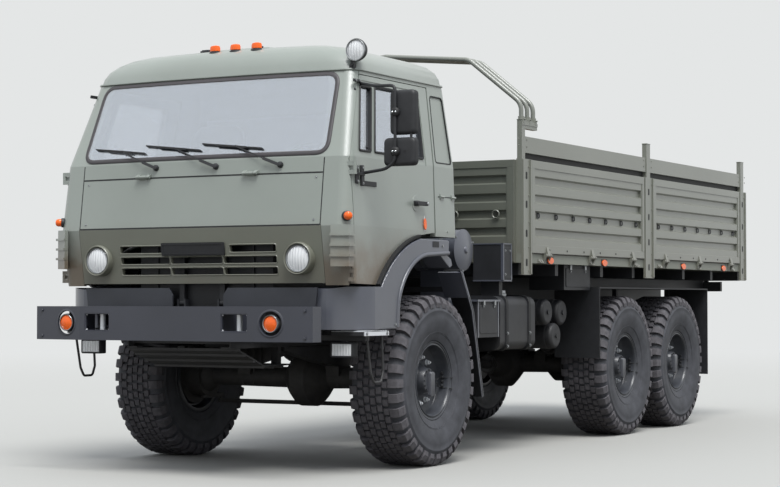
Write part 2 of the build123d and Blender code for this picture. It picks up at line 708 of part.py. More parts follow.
# Lamps on the chassis: turn lamps and fog lamps in front, tail lamps under the bed
with BuildPart() as chassis_lamps:
    for x in (TURN_LAMP_X, -TURN_LAMP_X):
        with BuildSketch(across(FRONT_END + 25)):
            with Locations((x, TURN_LAMP_Z)):
                Circle(62)
        extrude(amount=-60)
        add(block((x - 10, FRONT_END + 60, TURN_LAMP_Z), (x + 10, FRONT_END + 90, BUMPER_Z[1] - BUMPER_WALL)))
    for x in (1064, -1064):
        add(block((x - 86, -1095, 812), (x + 86, -1030, 912)))
        add(block((x - 20, -1075, 912), (x + 20, -1045, 925)))
    for x in (850, -850):
        add(block((x - 160, 6785, 1290), (x + 160, 6835, 1390)))
        add(block((x - 20, 6795, 1390), (x + 20, 6825, POST_FOOT)))
save(chassis_lamps.part, "chassis_lamps")

# Cargo bed floor with its bearers and sills
TAIL_HINGES = (-900, 0, 900)
BEARERS = (1440, 2150, 3110, 3850, 4350, 5150, 5950, 6780)
SILL_Z = (1495, BED_FLOOR_Z)
with BuildPart() as bed_floor:
    add(block((-DECK_X, BED_FRONT, 1535), (DECK_X, TAILGATE_Y - BED_GAP, BED_FLOOR_Z)))
    # Deck boards inside the posts and walls
    add(block((-DECK_X, BED_FRONT + 3, BED_FLOOR_Z), (DECK_X, TAILGATE_Y - BED_GAP - 3, DECK_Z)))
    for y in BEARERS:
        add(block((-DECK_X, y, POST_FOOT), (DECK_X, y + 60, 1535)))
    for x in (-RAIL_X, RAIL_X - RAIL_FLANGE):
        add(block((x, BED_FRONT, RAIL_TOP), (x + RAIL_FLANGE, 6580, POST_FOOT)))
    for sign in (1, -1):
        x0, x1 = sorted((sign * DECK_X, sign * SILL_X))
        add(block((x0, BED_FRONT, SILL_Z[0]), (x1, TAILGATE_Y - BED_GAP, SILL_Z[1])))
    # Rear sill with the tailgate's pins
    add(block((-SILL_X, TAILGATE_Y - BED_GAP, SILL_Z[0]), (SILL_X, TAILGATE_Y + 45, SIDE_BOTTOM - BED_GAP)))
    for x in TAIL_HINGES:
        with BuildSketch(along(x - 55)):
            with Locations((TAIL_HINGE_Y, TAIL_HINGE_Z)):
                Circle(HINGE_R)
        extrude(amount=110)
        for x_lug in (x - 55, x + 35):
            with BuildSketch(along(x_lug)):
                with Locations((TAIL_HINGE_Y, TAIL_HINGE_Z)):
                    Circle(HINGE_EYE_R)
                Polygon((TAILGATE_Y + 40, SILL_Z[0]), (TAIL_HINGE_Y + 6, TAIL_HINGE_Z - 10),
                        (TAIL_HINGE_Y, TAIL_HINGE_Z + 6), (TAILGATE_Y + 40, SIDE_BOTTOM - BED_GAP))
            extrude(amount=20)
save(bed_floor.part, "bed_floor")


def board(y0, y1, face, wall):
    """A pressed side board from y0 to y1 with its outer face at x = face."""
    with BuildPart() as panel:
        add(block((face - wall, y0, SIDE_BOTTOM), (face, y1, SIDE_TOP)))
        for z in CHANNEL_Z:
            with BuildSketch(across(y0 + 70)):
                Polygon((face + 1, z - CHANNEL_H / 2), (face + 1, z + CHANNEL_H / 2),
                        (face - CHANNEL_DEPTH, z + CHANNEL_H / 2 - 14),
                        (face - CHANNEL_DEPTH, z - CHANNEL_H / 2 + 14))
            extrude(amount=-(y1 - y0 - 140), mode=Mode.SUBTRACT)
        # Rim bead along the top
        add(block((face - wall - 4, y0, SIDE_TOP - 30), (face, y1, SIDE_TOP)))
    return panel.part


# Drop sides on hinge pins along the sill: the board's eyes and the bed's pins
SIDE_HINGE_X = BODY_HALF + 12
SIDE_HINGE_Z = 1560


def side_eyes(y0, y1):
    """The places of the three hinges of one board."""
    span = y1 - y0
    return [y0 + span * share for share in (0.12, 0.5, 0.88)]


hinge_pins = []
for (front_post, rear_post), name in (((0, 1), "front"), ((1, 2), "rear")):
    y0 = POSTS[front_post][1] + BED_GAP
    y1 = POSTS[rear_post][0] - BED_GAP
    with BuildPart() as side_board:
        add(board(y0, y1, BODY_HALF, SIDE_WALL))
        for y in side_eyes(y0, y1):
            with BuildSketch(across(y - 25)):
                with Locations((SIDE_HINGE_X, SIDE_HINGE_Z)):
                    Circle(HINGE_EYE_R)
                Polygon((SIDE_HINGE_X - 12, SIDE_HINGE_Z + 6), (SIDE_HINGE_X + 12, SIDE_HINGE_Z + 6),
                        (BODY_HALF + 8, 1630), (BODY_HALF - 4, 1630), (BODY_HALF - 4, SIDE_BOTTOM))
                with Locations((SIDE_HINGE_X, SIDE_HINGE_Z)):
                    Circle(HINGE_R + 0.3, mode=Mode.SUBTRACT)
            extrude(amount=-50)
    save(side_board.part, f"side_board_left_{name}")
    save(mirror(side_board.part, about=Plane.YZ), f"side_board_right_{name}")
    for y in side_eyes(y0, y1):
        with BuildPart() as pin:
            with BuildSketch(across(y - 55)):
                with Locations((SIDE_HINGE_X, SIDE_HINGE_Z)):
                    Circle(HINGE_R)
            extrude(amount=-110)
            for y_lug in (y - 55, y + 35):
                with BuildSketch(across(y_lug)):
                    with Locations((SIDE_HINGE_X, SIDE_HINGE_Z)):
                        Circle(HINGE_EYE_R)
                    Polygon((SILL_X, SILL_Z[0]), (SIDE_HINGE_X + 6, SIDE_HINGE_Z - 10),
                            (SIDE_HINGE_X, SIDE_HINGE_Z + 8), (SILL_X, SILL_Z[1]))
                extrude(amount=-20)
        hinge_pins.append(pin.part)

# Posts of the bed with their stakes, and the side hinge pins on the sill
# First and last y of the stake on each post
STAKES = ((1398, 1458), (4086, 4176), (6745, 6835))
post_pieces = []
for (y0, y1), (stake_0, stake_1) in zip(POSTS, STAKES):
    with BuildPart() as post:
        add(block((SILL_X, y0, POST_FOOT), (BODY_HALF, y1, SIDE_TOP + 2)))
        add(block((SILL_X - 40, y0, BED_FLOOR_Z), (SILL_X, y1, SIDE_TOP + 2)))
        add(block((SILL_X - 35, stake_0, SIDE_TOP + 2), (SILL_X + 7, stake_1, STAKE_TOP)))
    post_pieces.append(post.part)
# Socket plate of the stowed bows
bow_socket = block((SILL_X - 35, STAKES[0][1], STAKE_TOP - 70), (SILL_X + 7, STAKES[0][1] + 230, STAKE_TOP))
posts = post_pieces[0]
for piece in post_pieces[1:] + [bow_socket] + hinge_pins:
    posts = posts + piece
save(both_sides(posts), "bed_posts")

# Upper boards between the stakes
with BuildPart() as upper_board:
    for first, last in ((0, 1), (1, 2)):
        y0 = STAKES[first][1]
        y1 = STAKES[last][0]
        add(block((SILL_X - 28, y0, UPPER_BOARD_Z[0]), (SILL_X, y1, UPPER_BOARD_Z[1])))
save(both_sides(upper_board.part), "upper_boards")

# Front wall of the bed, pressed like the sides
with BuildPart() as bed_front_wall:
    add(block((40 - SILL_X, BED_FRONT - 40, SILL_Z[0]), (SILL_X - 40, BED_FRONT, SIDE_TOP - 8)))
    for z in CHANNEL_Z:
        with BuildSketch(along(110 - SILL_X)):
            face = BED_FRONT - 40
            Polygon((face - 1, z - CHANNEL_H / 2), (face - 1, z + CHANNEL_H / 2),
                    (face + CHANNEL_DEPTH, z + CHANNEL_H / 2 - 14), (face + CHANNEL_DEPTH, z - CHANNEL_H / 2 + 14))
        extrude(amount=2 * (SILL_X - 110), mode=Mode.SUBTRACT)
save(bed_front_wall.part, "bed_front_wall")

# Canopy bows stowed together in the front sockets: y of each
BOW_Y = (1428, 1538, 1648)
BOW_R = 19
BOW_HALF = SILL_X - 12
with BuildPart() as canopy_bows:
    for y in BOW_Y:
        with BuildLine() as half_bow:
            FilletPolyline((BOW_HALF, y, STAKE_TOP), (BOW_HALF, y, 2760), (BOW_HALF - 464, y, 3134),
                           (0, y, 3205), radius=120)
        with BuildSketch(Plane(origin=half_bow.line @ 0, z_dir=half_bow.line % 0)):
            Circle(BOW_R)
        sweep()
    mirror(about=Plane.YZ)
save(canopy_bows.part, "canopy_bows")

# Tailgate on pins at the rear sill
with BuildPart() as tailgate:
    add(block((-SILL_X, TAILGATE_Y, SIDE_BOTTOM), (SILL_X, TAILGATE_Y + TAILGATE_WALL, SIDE_TOP)))
    for z in CHANNEL_Z:
        with BuildSketch(along(80 - SILL_X)):
            face = TAILGATE_Y + TAILGATE_WALL
            Polygon((face + 1, z - CHANNEL_H / 2), (face + 1, z + CHANNEL_H / 2),
                    (face - CHANNEL_DEPTH, z + CHANNEL_H / 2 - 14), (face - CHANNEL_DEPTH, z - CHANNEL_H / 2 + 14))
        extrude(amount=2 * (SILL_X - 80), mode=Mode.SUBTRACT)
    for x in TAIL_HINGES:
        with BuildSketch(along(x - 25)):
            with Locations((TAIL_HINGE_Y, TAIL_HINGE_Z)):
                Circle(HINGE_EYE_R)
            Polygon((TAIL_HINGE_Y - 12, TAIL_HINGE_Z + 6), (TAIL_HINGE_Y + 12, TAIL_HINGE_Z + 6),
                    (TAIL_HINGE_Y - 4, 1640), (TAIL_HINGE_Y - 16, 1640), (TAIL_HINGE_Y - 16, SIDE_BOTTOM))
            with Locations((TAIL_HINGE_Y, TAIL_HINGE_Z)):
                Circle(HINGE_R + 0.3, mode=Mode.SUBTRACT)
        extrude(amount=50)
save(tailgate.part, "tailgate")

# Cab shell, cut from one form so that its panels meet
cab_outer = cab_volume(0)
cab_inner = cab_volume(CAB_WALL)
FLAP_SKIN = 18
FLAP_SPACE = 28
GRILLE_SKIN = 30
flap_inner = cab_volume(FLAP_SKIN)
flap_bed = cab_volume(FLAP_SPACE)
grille_inner = cab_volume(GRILLE_SKIN)
cab_shell = cab_outer - cab_inner

# The joint between the front wall and the sides follows the door's leading edge
DOOR_FRONT_Y = -1200
WAIST_Z = 2150
DOOR_TOP = 2748
PILLAR_TOP_Y = -921
FRONT_REGION = ((-1500, 1280), (DOOR_FRONT_Y - DOOR_GAP, 1280), (DOOR_FRONT_Y - DOOR_GAP, WAIST_Z),
                (PILLAR_TOP_Y - DOOR_GAP, 2790), (-1500, 2790))
front_region = prism_x(FRONT_REGION, -1300, 1300)
GRILLE_Z = (1315, 1703)
GRILLE_HALF = 1020
FLAP_Z = (1712, 2060)
FLAP_HALF = 1010
SCREEN_CORNER_R = 90
# Windscreen opening: height, half width
SCREEN = ((2200, 985), (2752, 925))


def screen_prism(shrink):
    """The windscreen opening seen from the front, carried through the front wall."""
    (low, low_half), (high, high_half) = SCREEN
    with BuildPart() as prism:
        with BuildSketch(across(-900)) as face:
            Polygon((-low_half + shrink, low + shrink), (low_half - shrink, low + shrink),
                    (high_half - shrink, high - shrink), (-high_half + shrink, high - shrink))
            fillet(face.vertices(), SCREEN_CORNER_R - shrink)
        extrude(amount=600)
    return prism.part


cab_front = cab_shell & front_region
grille_zone = block((-GRILLE_HALF, -1500, 1280), (GRILLE_HALF, -1150, GRILLE_Z[1] + 4))
cab_front = cab_front - ((cab_outer - grille_inner) & grille_zone)
# Flange behind the grille panel's edge
cab_front = cab_front - block((-GRILLE_HALF + 40, -1500, 1280), (GRILLE_HALF - 40, -1150, GRILLE_Z[1] - 40))
flap_zone = block((-FLAP_HALF - 5, -1500, FLAP_Z[0] - 5), (FLAP_HALF + 5, -1150, FLAP_Z[1] + 5))
cab_front = cab_front - ((cab_outer - flap_bed) & flap_zone)
cab_front = cab_front - screen_prism(0)

# Door hinges: low z of each, on an upright line just outside the door's front edge
DOOR_HINGES = (1325, 2045)
HINGE_EYE_H = 28
DOOR_PIN = (1228, DOOR_FRONT_Y - DOOR_GAP / 2)
# Flap hinges: x of each, on a level line above the flap
FLAP_HINGES = (-450, 450)
FLAP_PIN = (-1303, 2070)
FLAP_PIN_R = 6
FLAP_EYE_R = 11


def upright(z):
    """The level plane at z, whose sketch is seen from above."""
    return Plane.XY.offset(z)


pin_x, pin_y = DOOR_PIN
cab_leaf = ((pin_x + 10, pin_y - 10), (pin_x - 90, pin_y - 14), (pin_x - 90, pin_y - DOOR_GAP / 2),
            (pin_x, pin_y - DOOR_GAP / 2))
door_leaf = ((pin_x + 10, pin_y + 10), (pin_x - 90, pin_y + 14), (pin_x - 90, pin_y + DOOR_GAP / 2),
             (pin_x, pin_y + DOOR_GAP / 2))
cab_eyes = None
door_eyes = None
for z in DOOR_HINGES:
    fixed = hinge_bar(upright, (z, z + 2 * HINGE_EYE_H + 2), HINGE_EYE_H, DOOR_PIN, cab_leaf,
                      HINGE_R, HINGE_EYE_R, False)
    swung = hinge_bar(upright, (z + HINGE_EYE_H + 1,), HINGE_EYE_H, DOOR_PIN, door_leaf,
                      HINGE_R, HINGE_EYE_R, True)
    cab_eyes = fixed if cab_eyes is None else cab_eyes + fixed
    door_eyes = swung if door_eyes is None else door_eyes + swung
cab_eyes = both_sides(cab_eyes - cab_outer)
door_eyes = door_eyes - cab_outer

pin_y, pin_z = FLAP_PIN
flap_leaf = ((pin_y - 8, pin_z - 6), (pin_y + 50, pin_z - 40), (pin_y + 50, pin_z - 6), (pin_y, pin_z - 2))
panel_leaf = ((pin_y - 8, pin_z + 6), (pin_y + 60, pin_z + 40), (pin_y + 60, pin_z), (pin_y, pin_z))
flap_eyes = None
for x in FLAP_HINGES:
    fixed = hinge_bar(along, (x - 60, x + 32), 28, FLAP_PIN, panel_leaf, FLAP_PIN_R, FLAP_EYE_R, False)
    swung = hinge_bar(along, (x - 30,), 60, FLAP_PIN, flap_leaf, FLAP_PIN_R, FLAP_EYE_R, True)
    cab_eyes = cab_eyes + (fixed - cab_outer)
    flap_eyes = swung if flap_eyes is None else flap_eyes + swung
save(cab_front + cab_eyes, "cab_front")

GLASS = (14, 20)
screen_glass = (cab_volume(GLASS[0]) - cab_volume(GLASS[1])) & screen_prism(0) & front_region
save(screen_glass, "windscreen")

# Lift-up front panel
flap_box = block((-FLAP_HALF, -1500, FLAP_Z[0]), (FLAP_HALF, -1150, FLAP_Z[1]))
save(((cab_outer - flap_inner) & flap_box) + (flap_eyes - cab_outer), "front_flap")

# Grille panel with lamp holes and three rows of slots
LAMP_X = 844
LAMP_Z = 1481
LAMP_R = 92
BEZEL_R = 112
# Grille slots: low and high edge, x of the ends of each slot
SLOT_ROWS = (
    (1532, 1578, ((-655, -285), (285, 655))),
    (1455, 1500, ((-655, -230), (-215, 215), (230, 655))),
    (1378, 1423, ((-655, -230), (-215, 215), (230, 655))),
)
grille_panel = (cab_outer - grille_inner) & block((-GRILLE_HALF + 3, -1500, GRILLE_Z[0]),
                                                  (GRILLE_HALF - 3, -1150, GRILLE_Z[1]))
with BuildPart() as grille_cuts:
    with BuildSketch(across(-1100)):
        with Locations((LAMP_X, LAMP_Z), (-LAMP_X, LAMP_Z)):
            Circle(BEZEL_R)
        for low, high, slots in SLOT_ROWS:
            for x0, x1 in slots:
                with Locations(((x0 + x1) / 2, (low + high) / 2)):
                    RectangleRounded(x1 - x0, high - low, 10)
    extrude(amount=300)
save(grille_panel - grille_cuts.part, "grille_panel")

with BuildPart() as headlamps:
    with BuildSketch(across(-1322)):
        with Locations((LAMP_X, LAMP_Z), (-LAMP_X, LAMP_Z)):
            Circle(BEZEL_R)
            Circle(LAMP_R, mode=Mode.SUBTRACT)
    extrude(amount=-60)
    with BuildSketch(across(-1316)):
        with Locations((LAMP_X, LAMP_Z), (-LAMP_X, LAMP_Z)):
            Circle(LAMP_R)
    extrude(amount=-60)

# Doors: side outline from the front bottom corner round to the arch
DOOR_REAR = ((28, DOOR_TOP), (-35, WAIST_Z), (-38, 1687))
ARCH_START = (-293, WING_TOP + ARCH_GAP)
ARCH_MIDDLE = (-633, 1536)
ARCH_END = (-888, 1306)


def door_prism(front_gap, rear_gap, x0, x1):
    """The door's outline seen from the side, widened by the gaps, from x0 to x1."""
    front = DOOR_FRONT_Y - front_gap
    with BuildPart() as prism:
        with BuildSketch(along(x0)):
            with BuildLine():
                ThreePointArc(ARCH_START, ARCH_MIDDLE, ARCH_END)
                Polyline(ARCH_END, (front, 1312 - front_gap), (front, WAIST_Z),
                         (PILLAR_TOP_Y - front_gap - 16, DOOR_TOP + front_gap),
                         *[(y + rear_gap, z + (front_gap if z == DOOR_TOP else 0)) for y, z in DOOR_REAR],
                         ARCH_START)
            make_face()
        extrude(amount=x1 - x0)
    return prism.part


# Windows of the door: quarter light and main pane, as (y, z)
QUARTER_LIGHT = ((-1085, 2215), (-930, 2215), (-795, 2672), (-948, 2672))
MAIN_PANE = ((-872, 2215), (-165, 2215), (-125, 2685), (-738, 2685))
window_cuts = prism_x(QUARTER_LIGHT, 1000, 1300) + prism_x(MAIN_PANE, 1000, 1300)
# The door stays outboard of the front wall's inner edge
with BuildPart() as door_inboard:
    with BuildSketch(across(-1400)):
        Polygon((880, 1280), *[(half - CAB_WALL - 4, z) for z, half, *_ in CAB_SECTIONS], (880, GUTTER_Z))
    extrude(amount=-1600)
# Pressed surround of the windows
SURROUND = ((-1300, 2165), (-135, 2165), (-98, 2712), (-1300, 2712))
SURROUND_DEPTH = 5
surround = (cab_outer - cab_volume(SURROUND_DEPTH)) & prism_x(SURROUND, 1000, 1300)
door_body = (cab_shell & door_prism(0, 0, 900, 1300)) - door_inboard.part
door_piece = door_body - window_cuts - surround + door_eyes
save(door_piece, "door_left")
save(mirror(door_piece, about=Plane.YZ), "door_right")
pane_layer = cab_volume(18) - cab_volume(24)
door_glass = pane_layer & window_cuts
save(door_glass, "door_glass_left")
save(mirror(door_glass, about=Plane.YZ), "door_glass_right")

# Sides behind the doors, with the rail over the door
SIDE_REGION = ((DOOR_FRONT_Y - DOOR_GAP, 1280), (290, 1280), (290, GUTTER_Z), (PILLAR_TOP_Y - DOOR_GAP, GUTTER_Z),
               (DOOR_FRONT_Y - DOOR_GAP, WAIST_Z))
side_region = prism_x(SIDE_REGION, 900, 1300)
cab_side = (cab_shell & side_region) - door_prism(DOOR_GAP, DOOR_REAR_GAP, 900, 1300)
cab_side = cab_side - block((900, -1300, 1280), (1300, -22, 1900))
cab_side = cab_side - block((900, -22, 1280), (1300, 400, FLOOR_Z[0]))
# Pressed field above the service flap
FIELD = ((16, 2200), (268, 2200), (268, 2695), (72, 2695))
with BuildPart() as field:
    with BuildSketch(along(1000)) as face:
        Polygon(*FIELD)
        fillet(face.vertices(), 25)
    extrude(amount=300)
cab_side = cab_side - ((cab_outer - cab_volume(7)) & field.part)
save(both_sides(cab_side), "cab_sides")

# Rear wall over the engine tunnel
TUNNEL_HALF = 400
TUNNEL_TOP = 1850
rear_wall = cab_shell & block((-1300, 290, FLOOR_Z[0]), (1300, 400, GUTTER_Z))
rear_wall = rear_wall - block((-TUNNEL_HALF, 200, 1500), (TUNNEL_HALF, 400, TUNNEL_TOP + 20))
save(rear_wall, "cab_rear_wall")

# Floor with the engine tunnel
cab_floor = cab_inner & block((-1140, -1400, FLOOR_Z[0]), (1140, 400, FLOOR_Z[1]))
cab_floor = cab_floor - block((-TUNNEL_HALF, -1000, 1500), (TUNNEL_HALF, 400, 1750))
with BuildPart() as tunnel:
    with BuildSketch(across(-1000)):
        Polygon((-TUNNEL_HALF - 20, FLOOR_Z[0]), (-TUNNEL_HALF - 20, TUNNEL_TOP - 60),
                (-TUNNEL_HALF + 40, TUNNEL_TOP + 20), (TUNNEL_HALF - 40, TUNNEL_TOP + 20),
                (TUNNEL_HALF + 20, TUNNEL_TOP - 60), (TUNNEL_HALF + 20, FLOOR_Z[0]))
        Polygon((-TUNNEL_HALF, FLOOR_Z[0] - 5), (-TUNNEL_HALF, TUNNEL_TOP - 70), (-TUNNEL_HALF + 50, TUNNEL_TOP),
                (TUNNEL_HALF - 50, TUNNEL_TOP), (TUNNEL_HALF, TUNNEL_TOP - 70), (TUNNEL_HALF, FLOOR_Z[0] - 5),
                mode=Mode.SUBTRACT)
    extrude(amount=-1290)
    add(block((-TUNNEL_HALF - 20, -1020, FLOOR_Z[0]), (TUNNEL_HALF + 20, -1000, TUNNEL_TOP - 40)))
# Cab legs down to the pivot
with BuildPart() as cab_legs:
    for sign in (1, -1):
        with BuildSketch(along(sign * TILT_X - 20)):
            Polygon((TILT_Y - 21, TILT_Z), (TILT_Y - 21, FLOOR_Z[0] + 10), (TILT_Y + 21, FLOOR_Z[0] + 10),
                    (TILT_Y + 21, TILT_Z))
            with Locations((TILT_Y, TILT_Z)):
                Circle(25)
                Circle(TILT_PIN_R + PIN_FIT, mode=Mode.SUBTRACT)
        extrude(amount=40)
save(cab_floor + tunnel.part + cab_legs.part, "cab_floor")

# Roof with its rain gutter
roof_form = roof_volume(0)
roof_shell = roof_form - roof_volume(40)
with BuildPart() as gutter:
    with BuildSketch(Plane.XY.offset(GUTTER_Z)) as lip:
        add(outline(*ROOF_SECTIONS[0][1:], 0))
        offset(amount=12)
    extrude(amount=12)
gutter_ring = gutter.part - roof_volume(40)
with BuildPart() as hatch:
    with BuildSketch(Plane.XY.offset(2990)):
        with Locations((-150, -330)):
            RectangleRounded(640, 560, 60)
    extrude(amount=38)
hatch_lid = hatch.part
save(roof_shell + gutter_ring + hatch_lid, "cab_roof")

# Roof lamps: three markers and the searchlight on the left corner
SEARCHLIGHT_AT = (1110, 2912)
SEARCHLIGHT_Y = -985
with BuildPart() as roof_lamps:
    for x in (-95, 85, 262):
        with BuildSketch(Plane.XY.offset(2975)):
            with Locations((x, -780)):
                SlotOverall(110, 40)
        extrude(amount=45)
    with BuildSketch(across(SEARCHLIGHT_Y)):
        with Locations(SEARCHLIGHT_AT):
            Circle(80)
    extrude(amount=40)
    with BuildSketch(across(SEARCHLIGHT_Y)):
        with Locations(SEARCHLIGHT_AT):
            Circle(80)
    with BuildSketch(across(SEARCHLIGHT_Y + 80)):
        with Locations(SEARCHLIGHT_AT):
            Circle(45)
    loft(ruled=True)
    foot_x = SEARCHLIGHT_AT[0] - 55
    add(block((foot_x, SEARCHLIGHT_Y, 2770), (foot_x + 30, SEARCHLIGHT_Y + 30, 2850)))
save(headlamps.part + (roof_lamps.part - roof_form - gutter.part - cab_outer), "cab_lamps")

# Ribbed air deflectors on the front corners
with BuildPart() as deflector:
    with BuildSketch(Plane.XY.offset(1425)):
        Polygon((1226, -1214), (1190, -1214), (1190, -1250), (1110, -1310), (1118, -1340), (1226, -1280))
    extrude(amount=280)
    for z in (1490, 1560, 1630):
        with BuildSketch(Plane.XY.offset(z)):
            Polygon((1240, -1214), (1190, -1214), (1190, -1250), (1110, -1310), (1118, -1352), (1240, -1288))
        extrude(amount=16)
save(both_sides(deflector.part - cab_outer), "corner_deflectors")

# Front wings: flare over the wheel run down to the step, hollow inside
WING_X = (900, BODY_HALF)
WING_WALL = 14
WING_EDGE_R = 9
arch = ThreePointArc(ARCH_START, ARCH_MIDDLE, ARCH_END)


def inside_arch(point):
    """A point of the door's arch, moved inward by the arch gap."""
    centre = arch.arc_center
    share = 1 - ARCH_GAP / arch.radius
    return centre.X + (point[0] - centre.X) * share, centre.Y + (point[1] - centre.Y) * share


def wing_sketch(shrink):
    """The wing seen from the side, with its wheel arch."""
    with BuildSketch(mode=Mode.PRIVATE) as side:
        with BuildLine():
            ThreePointArc(inside_arch(ARCH_START), inside_arch(ARCH_MIDDLE), inside_arch(ARCH_END))
            Polyline(inside_arch(ARCH_END), (-1170, 1290), (-1235, 1276), (-1235, 1000), (-640, 1000), (-620, 1180))
            ThreePointArc((-620, 1180), (-452, 1414), (-170, 1512))
            Polyline((-170, 1512), (130, 1530), (138, 1630), (120, WING_TOP), inside_arch(ARCH_START))
        make_face()
        if shrink:
            offset(amount=-shrink, kind=Kind.INTERSECTION)
    return side.sketch


with BuildPart() as wing:
    with BuildSketch(along(WING_X[0])):
        add(wing_sketch(0))
    extrude(amount=WING_X[1] - WING_X[0])
    fillet(wing.edges().group_by(Axis.X)[-1], WING_EDGE_R)
    with BuildSketch(along(WING_X[0])):
        add(wing_sketch(WING_WALL))
    extrude(amount=WING_X[1] - WING_X[0] - WING_WALL, mode=Mode.SUBTRACT)
    # Pad on the step plate
    add(block((1020, -1100, 985), (1060, -820, 1000)))
    # Rounded front corner
    with BuildSketch(Plane.XY.offset(900)):
        with BuildLine():
            Polyline((1020, -1300), (1300, -1300), (1300, -900), (1250, -900))
            ThreePointArc((1250, -900), (1190, -1120), (1020, -1236))
            Line((1020, -1236), (1020, -1300))
        make_face()
    extrude(amount=420, mode=Mode.SUBTRACT)
with BuildPart() as wing_outline:
    with BuildSketch(along(WING_X[0])):
        add(wing_sketch(0))
    extrude(amount=WING_X[1] - WING_X[0])
with BuildPart() as wing_front:
    # Closed front, following the corner
    with BuildSketch(Plane.XY.offset(990)):
        with BuildLine():
            ThreePointArc((1250, -900), (1190, -1120), (1020, -1236))
            Polyline((1020, -1236), (WING_X[0], -1236), (WING_X[0], -1222), (1018, -1222))
            ThreePointArc((1018, -1222), (1178, -1110), (1236, -900))
            Line((1236, -900), (1250, -900))
        make_face()
    extrude(amount=400)
wing_body = wing.part + (wing_front.part & wing_outline.part)
save(both_sides(wing_body), "front_wings")

# Seats, dashboard and steering wheel
with BuildPart() as seats:
    for x0, x1 in ((480, 980), (-980, -480)):
        add(block((x0, -560, 1860), (x1, -60, 1980)))
        with BuildSketch(along(x0)):
            Polygon((-80, 1960), (20, 1960), (130, 2560), (40, 2560))
        extrude(amount=x1 - x0)
        add(block((x0 + 80, -480, FLOOR_Z[1]), (x1 - 80, -120, 1860)))
save(seats.part, "seats")

with BuildPart() as dashboard:
    with BuildSketch(along(-1100)):
        Polygon((-1320, 1900), (-930, 1900), (-900, 2090), (-960, 2160), (-1320, 2160))
    extrude(amount=2200)
    with BuildSketch(along(-1100)):
        Polygon((-1320, FLOOR_Z[1]), (-1190, FLOOR_Z[1]), (-1190, 1900), (-1320, 1900))
    extrude(amount=2200)
dash_body = dashboard.part & cab_inner

STEER_X = 730
STEER_C = (STEER_X, -760, 2190)
STEER_TILT = Plane(origin=STEER_C, x_dir=(1, 0, 0), z_dir=(0, 0.35, 0.94))
with BuildPart() as steering_wheel:
    rim_across = STEER_TILT.x_dir.cross(STEER_TILT.z_dir)
    with BuildSketch(Plane(origin=(STEER_X + 235, -760, 2190), x_dir=(1, 0, 0), z_dir=rim_across)):
        Circle(16)
    revolve(axis=Axis(STEER_C, STEER_TILT.z_dir))
    with BuildSketch(STEER_TILT):
        Circle(45)
    extrude(amount=-40)
    with BuildSketch(STEER_TILT.offset(-20)):
        Rectangle(470, 34)
        Rectangle(34, 470)
    extrude(amount=14)
    with BuildSketch(STEER_TILT.offset(-20)):
        Circle(24)
    extrude(amount=-560)
column_end = block((STEER_X - 100, -1100, 1500), (STEER_X + 100, -600, FLOOR_Z[1]))
save(dash_body + (steering_wheel.part - dash_body - column_end), "dashboard")

# Mirrors on their arms, carried by the doors
MIRROR_Y = -1085
MIRROR_X = 1470
MIRROR_FOLD = 72
with BuildPart() as mirrors:
    with BuildLine() as arm_line:
        FilletPolyline((1108, -930, 2690), (1290, -1040, 2650), (MIRROR_X, MIRROR_Y, 2640),
                       (MIRROR_X, MIRROR_Y, 2130), (1400, MIRROR_Y, 2080), (1200, -1060, 2060), radius=40)
    with BuildSketch(Plane(origin=arm_line.line @ 0, z_dir=arm_line.line % 0)):
        Circle(11)
    sweep()
    # Heads: low and high z, first and last x
    for low, high, x0, x1 in ((2310, 2610, 1420, MIRROR_REACH), (2100, 2290, 1372, MIRROR_REACH)):
        with BuildSketch(across(MIRROR_Y + 8)):
            with Locations(((x0 + x1) / 2, (low + high) / 2)):
                RectangleRounded(x1 - x0, high - low, 35)
        extrude(amount=-60)
        with BuildSketch(across(MIRROR_Y - 16)):
            with Locations((MIRROR_X, (low + high) / 2)):
                Circle(34)
        extrude(amount=-26)
save(mirrors.part - door_body, "mirrors_left")
# The right mirrors are folded back about the line through their two mounts
fold = Axis((-1200, -1060, 2060), (92, 130, 630))
door_right_body = mirror(door_body, about=Plane.YZ)
save(mirror(mirrors.part, about=Plane.YZ).rotate(fold, -MIRROR_FOLD) - door_right_body, "mirrors_right")
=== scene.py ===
"""Paint, rubber, glass, trim and fittings of a six-wheel cab-over cargo truck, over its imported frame."""

import math

import bmesh
import bpy
from mathutils import Matrix, Vector


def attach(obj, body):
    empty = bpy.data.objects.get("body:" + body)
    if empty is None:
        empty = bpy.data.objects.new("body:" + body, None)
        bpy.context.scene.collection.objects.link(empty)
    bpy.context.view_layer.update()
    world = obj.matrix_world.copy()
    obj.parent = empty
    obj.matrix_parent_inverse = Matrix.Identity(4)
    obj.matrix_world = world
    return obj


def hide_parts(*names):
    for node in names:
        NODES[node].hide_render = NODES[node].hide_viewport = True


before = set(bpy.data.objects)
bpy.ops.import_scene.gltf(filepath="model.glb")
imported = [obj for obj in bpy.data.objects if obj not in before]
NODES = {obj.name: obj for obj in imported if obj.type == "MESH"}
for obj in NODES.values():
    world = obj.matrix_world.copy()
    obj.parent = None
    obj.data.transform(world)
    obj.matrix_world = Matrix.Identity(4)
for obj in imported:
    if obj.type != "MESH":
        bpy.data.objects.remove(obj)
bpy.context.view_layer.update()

bl_info = {
    "name": "Cargo Truck Finishes",
    "version": (1, 0, 0),
    "blender": (4, 5, 0),
    "location": "View3D > Sidebar > Truck",
    "description": "Builds the tyres, trim, fittings and finishes of a six-wheel cargo truck",
    "category": "Object",
}

